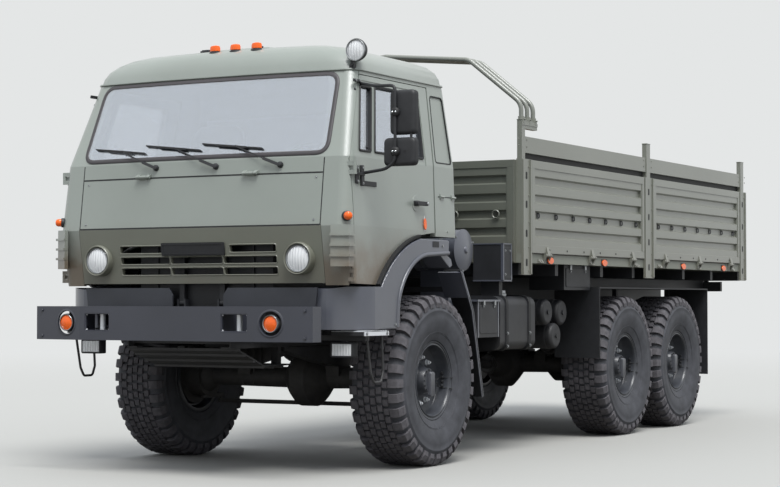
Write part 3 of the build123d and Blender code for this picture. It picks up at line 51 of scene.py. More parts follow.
# Sizes are in metres. Heights count from the ground, x to the left from the cab's middle plane and y back from
# the front axle. MIDDLE and FRONT_AXLE are the places of that plane and axle in the frame.
MIDDLE = -0.1075
FRONT_AXLE = -2.6505
AXLE_Y = {"front": 0.0, "middle": 3.690, "rear": 5.010}
AXLE_Z = 0.618
HALF_TRACK = 1.025
SIDES = (("left", 1), ("right", -1))


def at(x, y, z):
    """A point given from the front axle and the middle plane, in the frame's own coordinates."""
    return Vector((x + MIDDLE, y + FRONT_AXLE, z))


def add_box(bm, low, high):
    """Add a box between two corners given from the front axle."""
    low, high = at(*low), at(*high)
    made = bmesh.ops.create_cube(bm, size=1)["verts"]
    middle, size = (low + high) / 2, high - low
    for vert in made:
        vert.co = Vector((middle[i] + vert.co[i] * size[i] for i in range(3)))


def join_rings(bm, rings, across=True, along=False, caps=False):
    """Join each ring to the next by faces. Across closes every ring, along joins the last ring to the first."""
    followers = rings[1:] + (rings[:1] if along else [])
    for one, two in zip(rings, followers):
        count = len(one)
        for i in range(count if across else count - 1):
            j = (i + 1) % count
            bm.faces.new((one[i], one[j], two[j], two[i]))
    if caps:
        bm.faces.new(rings[0])
        bm.faces.new(rings[-1])


def add_prism(bm, points, along, start, end):
    """Add a polygon carried along one axis. Along x its points are (y, z), along y (x, z), along z (x, y)."""
    rings = [[bm.verts.new(at(*{"x": (level, a, b), "y": (a, level, b), "z": (a, b, level)}[along]))
              for a, b in points] for level in (start, end)]
    join_rings(bm, rings, caps=True)


def turns(count):
    """Angles that divide a full turn evenly."""
    return [2 * math.pi * k / count for k in range(count)]


def add_spun(bm, profile, centre, axis, steps=48, closed=False):
    """Add a turned form from (distance along the axis, radius) points. Its centre is in frame coordinates."""
    turn = Vector((0, 0, 1)).rotation_difference(Vector(axis)).to_matrix()
    rings = []
    for angle in turns(steps):
        spots = [Vector((radius * math.cos(angle), radius * math.sin(angle), reach))
                 for reach, radius in profile]
        rings.append([bm.verts.new(centre + turn @ spot) for spot in spots])
    join_rings(bm, rings, across=closed, along=True)


def add_rod(bm, start, end, radius, sides=12):
    """Add a round bar with closed ends between two points given from the front axle."""
    start, end = at(*start), at(*end)
    length = (end - start).length
    profile = ((0, 0.0001), (0, radius), (length, radius), (length, 0.0001))
    add_spun(bm, profile, start, (end - start).normalized(), sides)


def add_bolt(bm, spot, axis, radius=0.011, height=0.008):
    """Add a hexagon bolt head on its washer."""
    centre = at(*spot)
    add_spun(bm, ((0, 0.0005), (0, radius * 1.35), (0.002, radius * 1.35), (0.002, radius)), centre, axis, 12)
    add_spun(bm, ((0.002, radius), (height * 0.85, radius), (height, radius * 0.85), (height, 0.0005)), centre,
             axis, 6)


def add_pipe(bm, points, radius, sides=10, closed=False):
    """Add a bent round bar through points given from the front axle, rounded at each turn."""
    path = rounded([at(*p) for p in points], radius * 4, closed)
    tangents = []
    count = len(path)
    for i in range(count):
        before = path[i - 1] if closed or i else path[i]
        after = path[(i + 1) % count] if closed or i < count - 1 else path[i]
        tangents.append((after - before).normalized())
    normal = tangents[0].orthogonal().normalized()
    rings = []
    for spot, tangent in zip(path, tangents):
        normal = (normal - tangent * normal.dot(tangent)).normalized()
        side = tangent.cross(normal)
        rings.append([bm.verts.new(spot + (normal * math.cos(a) + side * math.sin(a)) * radius)
                      for a in turns(sides)])
    join_rings(bm, rings, along=closed, caps=not closed)


def rounded(points, radius, closed=False, steps=5):
    """The same path with its turns eased by short curves."""
    points = [Vector(p) for p in points]
    count = len(points)
    path = []
    for i, spot in enumerate(points):
        if not closed and i in (0, count - 1):
            path.append(spot)
            continue
        before, after = points[i - 1], points[(i + 1) % count]
        reach = min(radius, (before - spot).length * 0.45, (after - spot).length * 0.45)
        start = spot + (before - spot).normalized() * reach
        end = spot + (after - spot).normalized() * reach
        for step in range(steps + 1):
            t = step / steps
            path.append(start * (1 - t) ** 2 + spot * 2 * t * (1 - t) + end * t ** 2)
    return path


def mirrored(bm):
    """Add the mirror image of all that the mesh holds, for the other side."""
    made = bmesh.ops.duplicate(bm, geom=bm.verts[:] + bm.edges[:] + bm.faces[:])["geom"]
    verts = [v for v in made if isinstance(v, bmesh.types.BMVert)]
    for vert in verts:
        vert.co.x = 2 * MIDDLE - vert.co.x
    bmesh.ops.reverse_faces(bm, faces=[f for f in made if isinstance(f, bmesh.types.BMFace)])


def flipped(bm):
    """Move all that the mesh holds to the other side."""
    for vert in bm.verts:
        vert.co.x = 2 * MIDDLE - vert.co.x
    bmesh.ops.reverse_faces(bm, faces=bm.faces[:])


# Finishes by their plain names, which make_materials fills.
MATERIALS = {}


def make_mesh(name, bm, finish):
    """The finished mesh with its material."""
    bmesh.ops.recalc_face_normals(bm, faces=bm.faces[:])
    mesh = bpy.data.meshes.new(name)
    bm.to_mesh(mesh)
    bm.free()
    mesh.materials.append(MATERIALS[finish])
    return mesh


def make_piece(name, bm, finish, body, bevel=0.0, stands_for=(), smooth=35, both=False):
    """Turn the mesh, or it and its mirror image, into a piece that rides on its body."""
    if both:
        mirrored(bm)
    piece = bpy.data.objects.new(name, make_mesh(name, bm, finish))
    bpy.context.scene.collection.objects.link(piece)
    dress_piece(piece, body, bevel, stands_for, smooth)
    return piece


def dress_piece(piece, body, bevel=0.0, stands_for=(), smooth=35):
    """Ease the edges of a piece, smooth its shading and fasten it to its body."""
    if bevel:
        easing = piece.modifiers.new("eased edges", "BEVEL")
        easing.width = bevel
        easing.segments = 2
        easing.limit_method = "ANGLE"
        easing.angle_limit = math.radians(smooth)
        easing.harden_normals = True
    piece.data.shade_smooth()
    if not bevel:
        piece.data.set_sharp_from_angle(angle=math.radians(smooth))
    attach(piece, body)
    if stands_for:
        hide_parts(*stands_for)


def linear(code):
    """An sRGB hex colour as the linear values that a shader takes."""
    channels = [int(code[i:i + 2], 16) / 255 for i in (0, 2, 4)]
    return tuple(c / 12.92 if c <= 0.04045 else ((c + 0.055) / 1.055) ** 2.4 for c in channels) + (1.0,)


def put(tree, kind, inputs=None, **settings):
    """Add one node with its settings, and its inputs as values or links."""
    node = tree.nodes.new(kind)
    for key, value in settings.items():
        setattr(node, key, value)
    for key, value in (inputs or {}).items():
        if isinstance(value, bpy.types.NodeSocket):
            tree.links.new(value, node.inputs[key])
        else:
            node.inputs[key].default_value = value
    return node


def start_material(name, colour, rough, **sockets):
    """A new material of a linear colour. Returns the material, its tree and its shader."""
    material = bpy.data.materials.new(name)
    material.use_nodes = True
    tree = material.node_tree
    shader = tree.nodes["Principled BSDF"]
    shader.inputs["Base Color"].default_value = colour
    shader.inputs["Roughness"].default_value = rough
    for key, value in sockets.items():
        shader.inputs[key].default_value = value
    return material, tree, shader


def mottle(tree, shader, pale, dark, size_mm, spread):
    """Vary the base colour softly between two tones, over patches of the given size."""
    place = put(tree, "ShaderNodeTexCoord")
    patches = put(tree, "ShaderNodeTexNoise", {"Vector": place.outputs["Object"], "Scale": 1000 / size_mm,
                                               "Detail": 5.0, "Roughness": 0.6})
    ramp = put(tree, "ShaderNodeValToRGB", {"Fac": patches.outputs["Fac"]})
    ramp.color_ramp.elements[0].position = 0.5 - spread
    ramp.color_ramp.elements[0].color = linear(dark)
    ramp.color_ramp.elements[1].position = 0.5 + spread
    ramp.color_ramp.elements[1].color = linear(pale)
    tree.links.new(ramp.outputs["Color"], shader.inputs["Base Color"])
    return place, ramp


def grain(tree, shader, size_mm, height_mm, detail=3.0, place=None):
    """Give the surface a fine unevenness of the given grain size and height."""
    place = place or put(tree, "ShaderNodeTexCoord")
    noise = put(tree, "ShaderNodeTexNoise", {"Vector": place.outputs["Object"], "Scale": 1000 / size_mm,
                                             "Detail": detail})
    bump = put(tree, "ShaderNodeBump", {"Height": noise.outputs["Fac"], "Distance": height_mm / 1000,
                                        "Strength": 1.0})
    tree.links.new(bump.outputs["Normal"], shader.inputs["Normal"])


def dusty(tree, shader, source, dust, low, high, amount):
    """Lay road dust over a colour, strongest at the height low and gone at high, in uneven patches."""
    place = put(tree, "ShaderNodeTexCoord")
    split = put(tree, "ShaderNodeSeparateXYZ", {"Vector": place.outputs["Object"]})
    fade = put(tree, "ShaderNodeMapRange", {"Value": split.outputs["Z"], "From Min": low, "From Max": high,
                                            "To Min": amount, "To Max": 0.0}, interpolation_type="SMOOTHSTEP")
    patches = put(tree, "ShaderNodeTexNoise", {"Vector": place.outputs["Object"], "Scale": 7.0, "Detail": 6.0})
    share = put(tree, "ShaderNodeMath", {0: fade.outputs["Result"], 1: patches.outputs["Fac"]},
                operation="MULTIPLY")
    mix = put(tree, "ShaderNodeMix", {"Factor": share.outputs["Value"], 6: source, 7: linear(dust)},
              data_type="RGBA")
    tree.links.new(mix.outputs[2], shader.inputs["Base Color"])


def clouded(name, rough, tones, patch_mm, spread, grain_mm, height_mm, detail=2.0, dust=None, **sockets):
    """A finish that wavers between two tones, with a fine grain.

    Road dust is given as its colour, the height where it is thickest, the height where it ends, and its amount.
    """
    material, tree, shader = start_material(name, linear(tones[0]), rough, **sockets)
    place, ramp = mottle(tree, shader, *tones, patch_mm, spread)
    grain(tree, shader, grain_mm, height_mm, detail, place)
    if dust:
        dusty(tree, shader, ramp.outputs["Color"], *dust)
    return material


def even(name, colour, rough, grain_mm, height_mm, detail=1.0, **sockets):
    """A finish of one tone with a faint grain."""
    material, tree, shader = start_material(name, linear(colour), rough, **sockets)
    grain(tree, shader, grain_mm, height_mm, detail)
    return material


def olive_enamel(name, pale, dark, rough, dust=(0.9, 2.05, 0.8)):
    """Matt olive vehicle enamel, sprayed: soft clouding, orange peel in waves of about 4 mm, and road dust."""
    return clouded(name, rough, (pale, dark), 900, 0.3, 4.0, 0.03, 2.0, ("6a6052", *dust),
                   **{"Coat Weight": 1.0, "Coat Roughness": 0.32})


def two_coats(name, olive, black, edge):
    """Enamel that is olive above the height of an edge and black below it."""
    material, tree, shader = start_material(name, linear(olive), 0.5)
    place = put(tree, "ShaderNodeTexCoord")
    split = put(tree, "ShaderNodeSeparateXYZ", {"Vector": place.outputs["Object"]})
    share = put(tree, "ShaderNodeMapRange", {"Value": split.outputs["Z"], "From Min": edge - 0.004,
                                             "From Max": edge})
    mix = put(tree, "ShaderNodeMix", {"Factor": share.outputs["Result"], 6: linear(black), 7: linear(olive)},
              data_type="RGBA")
    tree.links.new(mix.outputs[2], shader.inputs["Base Color"])
    grain(tree, shader, 4.0, 0.03, 2.0, place)
    return material


def embossed(name, colour, rough, pattern, height, depth_mm, strength, settings=None, **sockets):
    """A finish with a moulded pattern: the pattern's node and inputs, and the output that gives its height."""
    material, tree, shader = start_material(name, linear(colour), rough, **sockets)
    place = put(tree, "ShaderNodeTexCoord")
    kind, inputs = pattern
    relief = put(tree, kind, {"Vector": place.outputs["Object"], **inputs}, **(settings or {}))
    bump = put(tree, "ShaderNodeBump", {"Height": relief.outputs[height], "Distance": depth_mm / 1000,
                                        "Strength": strength})
    tree.links.new(bump.outputs["Normal"], shader.inputs["Normal"])
    return material, tree, shader, relief


def make_materials():
    """All finishes of the truck, by plain name."""
    coat = {"Coat Weight": 1.0, "Coat Roughness": 0.3}
    m = {
        # The cab's enamel takes brown road dust below the doors' press line. Its base is lighter than the paint
        # itself, because the sky's sheen on the flap and roof is painted into it
        "cab enamel": olive_enamel("Olive cab enamel, with painted sky sheen", "898f88", "7f857d", 0.38, (1.25, 1.80, 2.4)),
        # The grille moulding's copy of the cab paint is darker and yellower, because the shade under the flap
        # is painted into it
        "grille enamel": olive_enamel("Olive grille enamel, painted shade", "6f7266", "65685c", 0.45),
        "bed enamel": olive_enamel("Olive bed enamel, sprayed", "76786e", "6b6d63", 0.5),
        # The wall behind the cab is a darker copy of the bed's enamel, with the cab's shade on it painted in
        "wall enamel": olive_enamel("Olive wall enamel, painted shade", "5e6157", "52554b", 0.6),
        # The bows were dipped: smoother than the sprayed boards
        "bow enamel": olive_enamel("Olive tube enamel, dipped", "7d7f77", "6c6f66", 0.42),
        # The bed's floor frame is olive down to its sill, and sprayed black with the chassis below that
        "floor enamel": two_coats("Floor frame enamel, two coats", "76786e", "26272a", SILL_EDGE),
        # Glass-fibre moulding, blue grey with a low sheen and road dust
        "moulding": clouded("Blue-grey moulding, satin", 0.42, ("4d505a", "43464f"), 500, 0.3, 6.0, 0.08,
                            dust=("7d7a72", 0.7, 1.5, 0.3), **coat),
        # Thick bumper enamel: darker and with less sheen
        "bumper": clouded("Bumper enamel, satin", 0.42, ("363841", "2d2f37"), 500, 0.3, 6.0, 0.08,
                          **{**coat, "Coat Weight": 0.5}),
        # The moulding that hangs in the shade, as a darker copy with that shade painted in
        "apron": clouded("Apron moulding, painted shade", 0.5, ("37393f", "2a2c31"), 300, 0.3, 6.0, 0.08),
        # Chassis enamel, brushed on over steel: near black, uneven gloss, dusty where the road throws it
        "chassis": clouded("Chassis enamel, black", 0.5, ("2c2d31", "1c1d1f"), 160, 0.25, 9.0, 0.2, 3.0,
                           ("5e5b55", 0.3, 1.3, 0.5)),
        # Wheel enamel, baked: deep black with a clear sheen on its rims
        "rim": clouded("Wheel enamel, baked black", 0.33, ("45474c", "303236"), 120, 0.25, 5.0, 0.06),
        # Vulcanised rubber: charcoal with the grey bloom of wax and dust, slightly rough all over
        "tyre": clouded("Tyre rubber, vulcanised", 0.68, ("4a4b50", "36373b"), 90, 0.22, 3.0, 0.12, 4.0),
        # Tread blocks: drier and browner where they meet the road
        "tread": clouded("Tread rubber, scuffed", 0.82, ("625f62", "454346"), 40, 0.25, 2.0, 0.2, 4.0),
        # Laminated float glass: a half mirror that throws back the pale blue sky and lets the cab show through
        "glass": even("Window glass, laminated", "f0f6ff", 0.12, 400.0, 0.1, Metallic=1.0, Alpha=0.54),
        # Pressed lens glass: flutes 11 mm wide run down it and scatter the light. It is mostly opaque white, so
        # its colour paints the glare of daylight on the glass
        "lens": embossed("Lens glass, pressed, painted glare", "f9faf9", 0.06,
                         ("ShaderNodeTexWave", {"Scale": 14.0, "Distortion": 0.2}), "Fac", 4.0, 0.9,
                         {"bands_direction": "X"}, **{"Transmission Weight": 0.3, "IOR": 1.5})[0],
        # Vacuum-silvered reflector behind a lens
        "reflector": even("Lamp reflector, silvered", "f4f5f6", 0.16, 12.0, 0.15, Metallic=0.85),
        # Mirror glass, back silvered
        "mirror": even("Mirror glass, silvered", "c9ced2", 0.03, 80.0, 0.05, Metallic=1.0),
        # Zinc-plated steel: pale and slightly mottled
        "zinc": clouded("Zinc-plated steel", 0.36, ("b4b7b9", "8d9092"), 25, 0.25, 2.5, 0.03, Metallic=1.0),
        # Zinc plating, near white and only partly metallic, so that its colour paints the glint of plated steel
        # even in shade, as on the tow pins
        "bright": even("Zinc plating, painted glint", "dcdee0", 0.3, 2.5, 0.03, 2.0, Metallic=0.35),
        # Pale vinyl of the cab's lining, stretched smooth, and lighter than the vinyl itself, because it paints
        # the daylight that falls into the cab
        "lining": even("Lining vinyl, painted daylight", "bcc0c4", 0.6, 12.0, 0.1),
        # ABS trim, grained in its mould
        "abs": clouded("ABS trim, grained black", 0.55, ("292a2d", "1c1d1f"), 60, 0.3, 1.6, 0.1),
        # Glazing rubber with a faded, greyer face
        "gasket": even("Glazing rubber, faded", "3f3c3e", 0.5, 6.0, 0.05),
        # Sealing rubber, extruded: plain black
        "seal": even("Sealing rubber, extruded", "17181a", 0.6, 5.0, 0.05),
        # Cast iron, sand cast: grey black, coarse and dusty
        "iron": clouded("Cast iron, sand cast", 0.66, ("3a3a3b", "242527"), 45, 0.25, 3.0, 0.35, 4.0,
                        ("5c574f", 0.3, 1.2, 0.5)),
        # Phenolic-faced plywood of the bed floor: brown with a fine mesh print and scuffs
        "plywood": clouded("Floor plywood, phenolic faced", 0.6, ("6a5846", "4a3c30"), 250, 0.3, 8.0, 0.3, 3.0),
    }
    # Moulded lens acrylics, coloured through, with pips 8 mm apart inside
    for key, name, code in (("amber", "Amber lens, moulded acrylic", "f4640c"),
                            ("red", "Red lens, moulded acrylic", "a5160f")):
        m[key] = embossed(name, code, 0.18, ("ShaderNodeTexVoronoi", {"Scale": 130.0}), "Distance", 1.5, 0.5,
                          **{"Transmission Weight": 0.1, "Coat Weight": 0.4})[0]
    # Woven seat cloth: threads 1.5 mm apart, drawn at 6 mm so that they show
    m["cloth"], tree, shader, weave = embossed(
        "Seat cloth, woven", "3a3d42", 0.9,
        ("ShaderNodeTexBrick", {"Color1": linear("44474d"), "Color2": linear("34373c"),
                                "Mortar": linear("1f2124"), "Scale": 80.0, "Mortar Size": 0.03}),
        "Fac", 1.0, 0.6, **{"Sheen Weight": 0.3})
    tree.links.new(weave.outputs["Color"], shader.inputs["Base Color"])
    return m


class TruckPaintSettings(bpy.types.PropertyGroup):
    """Colours that a user would change."""

    floor_colour: bpy.props.FloatVectorProperty(name="Floor colour", description="Colour of the studio floor",
                                                subtype="COLOR", size=3, default=linear("9b9a95")[:3])


class TruckSizeSettings(bpy.types.PropertyGroup):
    """Sizes that a user would change."""

    lug_count: bpy.props.IntProperty(name="Shoulder lugs", description="Lugs on each shoulder of a tyre",
                                     default=36, min=12, max=60)
    row_count: bpy.props.IntProperty(name="Tread rows", description="Rows of small blocks round a tyre",
                                     default=60, min=24, max=140)
    nut_count: bpy.props.IntProperty(name="Wheel nuts", description="Nuts on each wheel", default=10, min=4,
                                     max=12)
    edge_radius: bpy.props.FloatProperty(name="Edge radius",
                                         description="Radius of the eased edges on the larger trim",
                                         default=0.003, min=0.0, max=0.02, unit="LENGTH", subtype="DISTANCE")


# The cab's outer skin: height, half width, y of the front corners, bow of the front
CAB_SECTIONS = ((1.300, 1.214, -1.225, 0.030), (1.700, 1.220, -1.288, 0.035), (2.170, 1.204, -1.222, 0.060),
                (2.780, 1.104, -0.985, 0.060))
# Outlines of the openings, as (x, z) for the windscreen and (y, z) for the door windows
SCREEN = ((-1.026, 2.196), (1.026, 2.196), (0.990, 2.760), (-0.990, 2.760))
QUARTER_LIGHT = ((-1.085, 2.215), (-0.930, 2.215), (-0.795, 2.672), (-0.948, 2.672))
MAIN_PANE = ((-0.872, 2.215), (-0.165, 2.215), (-0.125, 2.685), (-0.738, 2.685))
# Half width over the side boards and wings, and the height where the floor frame turns from olive to black
BODY_HALF = 1.250
SILL_EDGE = 1.493
# Side boards, stakes of the upper boards and posts: first and last y of each
SIDE_BOARDS = (("front", 1.570, 4.010), ("rear", 4.252, 6.684))
STAKES = ((1.398, 1.458), (4.086, 4.176), (6.745, 6.835))
POSTS = ((1.393, 1.562), (4.018, 4.244), (6.692, 6.885))
# Low and high z of the rails round a side board or the tailgate
BOARD_RAILS = ((1.577, 1.640), (2.252, 2.314))
# Centres of the spare wheel, the air cleaner's drum face and the lamps; the lamps' x counts for both sides
SPARE = (-0.420, 0.860, 1.918)
DRUM = (1.100, 0.657, 1.580)
SEARCHLIGHT = (1.110, -0.985, 2.912)
HEADLAMP = (0.844, -1.306, 1.481)
CORNER_LAMP = (1.200, -1.262, 1.763)
BUMPER_LAMP = (0.847, -1.650, 1.044)
FOG_LAMP = (1.064, -1.095, 0.862)
# The tow pins stand in the bumper's two windows
TOW_X = 0.569
TOW_Y = -1.600


def skin(z):
    """Half width, y of the corners and bow of the cab's skin at the height z."""
    for low, high in zip(CAB_SECTIONS, CAB_SECTIONS[1:]):
        if z <= high[0] or high is CAB_SECTIONS[-1]:
            share = (z - low[0]) / (high[0] - low[0])
            return [a + (b - a) * share for a, b in zip(low[1:], high[1:])]


def on_front(x, z, out=0.0):
    """A point on the cab's front, or that far out from it."""
    half, corner, bow = skin(z)
    return x, corner - bow * (1 - (x / half) ** 2) - out, z


def on_side(y, z, out=0.0):
    """A point on the cab's left side, or that far out from it."""
    return skin(z)[0] + out, y, z


def on_body(y, z, out=0.0):
    """A point on the plane of the left side boards and front wing, or that far out from it."""
    return BODY_HALF + out, y, z


def rect(u0, v0, u1, v1, radius=0.0, steps=4):
    """A rectangle's outline with rounded corners."""
    corners = ((u0, v0), (u1, v0), (u1, v1), (u0, v1))
    return rounded(corners, radius, True, steps) if radius else corners


def straight(start, end, steps):
    """Evenly spaced points of a straight line, with both its ends."""
    start, end = Vector(start), Vector(end)
    return [start + (end - start) * k / steps for k in range(steps + 1)]


def finer(loop, reach):
    """The same closed line with points no further apart than reach."""
    path = []
    for one, two in zip(loop, loop[1:] + loop[:1]):
        steps = max(1, math.ceil((two - one).length / reach))
        path += [one + (two - one) * k / steps for k in range(steps)]
    return path


def ellipse(u, v, half_u, half_v, steps=20):
    """An ellipse's outline."""
    return [Vector((u + half_u * math.cos(a), v + half_v * math.sin(a))) for a in turns(steps)]


def add_bead(bm, loop, place, section, closed=True):
    """Carry a section of (across, out) points along a line that place puts on a surface."""
    count = len(loop)
    rings = []
    for i, spot in enumerate(loop):
        before = loop[i - 1] if closed or i else spot
        after = loop[(i + 1) % count] if closed or i < count - 1 else spot
        run = (after - before).normalized()
        side = Vector((run.y, -run.x))
        rings.append([bm.verts.new(at(*place(*(spot + side * across), out))) for across, out in section])
    join_rings(bm, rings, across=False, along=closed, caps=not closed)


def add_pad(bm, loop, place, low, high):
    """Add a flat piece with the given outline between two distances out from a surface."""
    rings = [[bm.verts.new(at(*place(u, v, out))) for u, v in loop] for out in (low, high)]
    join_rings(bm, rings, caps=True)


def add_bar(bm, start, end, width, height, up=(0, 0, 1)):
    """Add a flat bar between two points given from the front axle, its height along up."""
    start, end = at(*start), at(*end)
    run = (end - start).normalized()
    side = run.cross(Vector(up)).normalized() * width / 2
    rise = side.cross(run).normalized() * height / 2
    rings = [[bm.verts.new(spot + a * side + b * rise) for a, b in ((-1, -1), (1, -1), (1, 1), (-1, 1))]
             for spot in (start, end)]
    join_rings(bm, rings, caps=True)


def add_dome(bm, spot, axis, radius, height, steps=24, rings=5):
    """Add a shallow dome with a flat back."""
    profile = [(0, 0.0005), (0, radius)]
    profile += [(height * math.sin(a), max(radius * math.cos(a), 0.0005))
                for a in (math.pi / 2 * (k + 1) / rings for k in range(rings))]
    add_spun(bm, profile, at(*spot), axis, steps)


def add_patch(bm, loop, place, low, high):
    """Add a piece with the given outline that follows a bowed surface, between two distances out from it."""
    rows = 10
    middle = sum(loop, Vector((0, 0))) / len(loop)
    edges = []
    for out in (low, high):
        rings = [[bm.verts.new(at(*place(*(middle + (spot - middle) * (k + 1) / rows), out))) for spot in loop]
                 for k in range(rows)]
        join_rings(bm, rings)
        centre = bm.verts.new(at(*place(*middle, out)))
        for one, two in zip(rings[0], rings[0][1:] + rings[0][:1]):
            bm.faces.new((centre, one, two))
        edges.append(rings[-1])
    join_rings(bm, edges)


def empty(count):
    """So many empty meshes."""
    return [bmesh.new() for _ in range(count)]


def build(*parts):
    """A new mesh with each given part added to it: a function and its values."""
    bm = bmesh.new()
    for function, *values in parts:
        function(bm, *values)
    return bm


def copies(name, bm, finish, spots, node=None, smooth=35):
    """One mesh placed at every (place, body, matrix) of the spots; node starts the names that it stands for."""
    mesh = make_mesh(name, bm, finish)
    for place, body, matrix in spots:
        piece = bpy.data.objects.new(f"{name}_{place}", mesh)
        bpy.context.scene.collection.objects.link(piece)
        piece.matrix_world = matrix
        stands_for = ("spare_wheel",) if node and place == "spare" else (f"{node}_{place}",) if node else ()
        dress_piece(piece, body, stands_for=stands_for, smooth=smooth)


def wheel_spots(spare=True):
    """Place, body and matrix of each wheel, with its outer side along local x."""
    for place, y in AXLE_Y.items():
        for side, sign in SIDES:
            turn = Matrix.Rotation(0 if sign > 0 else math.pi, 4, "Z")
            yield (f"{place}_{side}", f"wheel_{place}_{side}",
                   Matrix.Translation(at(sign * HALF_TRACK, y, AXLE_Z)) @ turn)
    if spare:
        yield "spare", "chassis", Matrix.Translation(at(*SPARE)) @ Matrix.Rotation(math.pi / 2, 4, "Z")


def polar(x, radius, angle):
    """A point in wheel coordinates."""
    return Vector((x, radius * math.cos(angle), radius * math.sin(angle)))


def add_ring_block(bm, section, angle, half_angle, taper=0.9):
    """Add a tread block: a section of (x, radius) points over a span of angle, narrower at its top."""
    low = min(r for _, r in section)
    high = max(r for _, r in section)
    rings = []
    for sign in (-1, 1):
        ring = []
        for x, radius in section:
            share = (radius - low) / (high - low)
            ring.append(bm.verts.new(polar(x, radius, angle + sign * half_angle * (1 - (1 - taper) * share))))
        rings.append(ring)
    join_rings(bm, rings, across=False, caps=True)


# Tyre section on its outer half, from the bead round the sidewall to the tread: offset and radius
TYRE_WALL = ((0.148, 0.2672), (0.1505, 0.2895), (0.167, 0.2905), (0.174, 0.306), (0.186, 0.338), (0.201, 0.385),
             (0.2105, 0.430), (0.2115, 0.465), (0.2085, 0.498), (0.2105, 0.503), (0.2100, 0.512),
             (0.2055, 0.517), (0.199, 0.540), (0.190, 0.561), (0.176, 0.583), (0.150, 0.594), (0.080, 0.5985),
             (0.0, 0.600))
# Shoulder lug section
LUG = ((0.124, 0.590), (0.124, 0.6172), (0.158, 0.6178), (0.191, 0.603), (0.2095, 0.563), (0.2060, 0.530),
       (0.196, 0.530))
# Rim section: outer flange, lock ring, dish, disc and hub, then back by the spindle bore and the brake drum
RIM = ((-0.165, 0.256), (-0.166, 0.280), (-0.163, 0.2872), (-0.157, 0.2878), (-0.151, 0.282), (-0.150, 0.2665),
       (0.146, 0.2665), (0.150, 0.280), (0.155, 0.2874), (0.161, 0.288), (0.1648, 0.284), (0.163, 0.276),
       (0.157, 0.271), (0.157, 0.265), (0.1625, 0.263), (0.1635, 0.258), (0.158, 0.2535), (0.140, 0.2505),
       (0.075, 0.2475), (0.066, 0.243), (0.053, 0.207), (0.048, 0.197), (0.048, 0.128), (0.056, 0.115),
       (0.085, 0.0955), (0.122, 0.089), (0.128, 0.084), (0.128, 0.0005), (0.060, 0.0005), (0.060, 0.04505),
       (-0.055, 0.04505), (-0.055, 0.080), (0.020, 0.110), (0.020, 0.223), (-0.110, 0.223), (-0.110, 0.235),
       (0.030, 0.235), (0.050, 0.2535))
# Share of its pitch that half a shoulder lug spans
LUG_SHARE = 0.31
# Small blocks: columns, their pitch across the tread, their width, foot and top radius and their share of a row
BLOCK_COLUMNS = 5
BLOCK_PITCH = 0.0490
BLOCK_WIDTH = 0.0410
BLOCK_FOOT = 0.596
BLOCK_TOP = 0.6165
BLOCK_SHARE = 0.36
# Rows by which the blocks run ahead, 0.1 m from the middle of the tread
ROW_BEND = 1.2
# Wheel nuts and hub bolts: offset of their seat and radius of their circle
NUT_SEAT, NUT_CIRCLE = 0.048, 0.1675
HUB_SEAT, HUB_CIRCLE = 0.1275, 0.074
HUB_BOLTS = 12


class TRUCK_OT_cad_finishes(bpy.types.Operator):
    """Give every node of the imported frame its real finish"""

    bl_idname = "truck.cad_finishes"
    bl_label = "Frame finishes"

    # How the names of the nodes with each finish start. All others are black like the chassis.
    FINISHES = {
        "cab enamel": ("cab_front", "cab_sides", "cab_rear_wall", "cab_roof", "front_flap",
                       "door_left", "door_right", "corner_deflectors"),
        "bed enamel": ("side_board", "bed_posts", "upper_boards", "tailgate"),
        "floor enamel": ("bed_floor",),
        "wall enamel": ("bed_front_wall",),
        "grille enamel": ("grille_panel",),
        "bow enamel": ("canopy_bows",),
        "bumper": ("front_bumper",),
        "moulding": ("front_wings", "air_cleaner"),
        "apron": ("front_aprons",),
        "glass": ("windscreen", "door_glass"),
        "iron": ("engine", "axles", "steering_knuckle", "tie_rod"),
        "rim": ("rim_",),
        "tyre": ("tyre_", "spare_wheel"),
        "abs": ("mirrors", "dashboard", "cab_floor", "chassis_lamps", "cab_lamps", "mudguards"),
        "cloth": ("seats",),
    }

    def execute(self, context):
        for name, node in NODES.items():
            found = [key for key, starts in self.FINISHES.items() if name.startswith(starts)]
            node.data.materials.clear()
            node.data.materials.append(MATERIALS[found[0] if found else "chassis"])
        return {"FINISHED"}


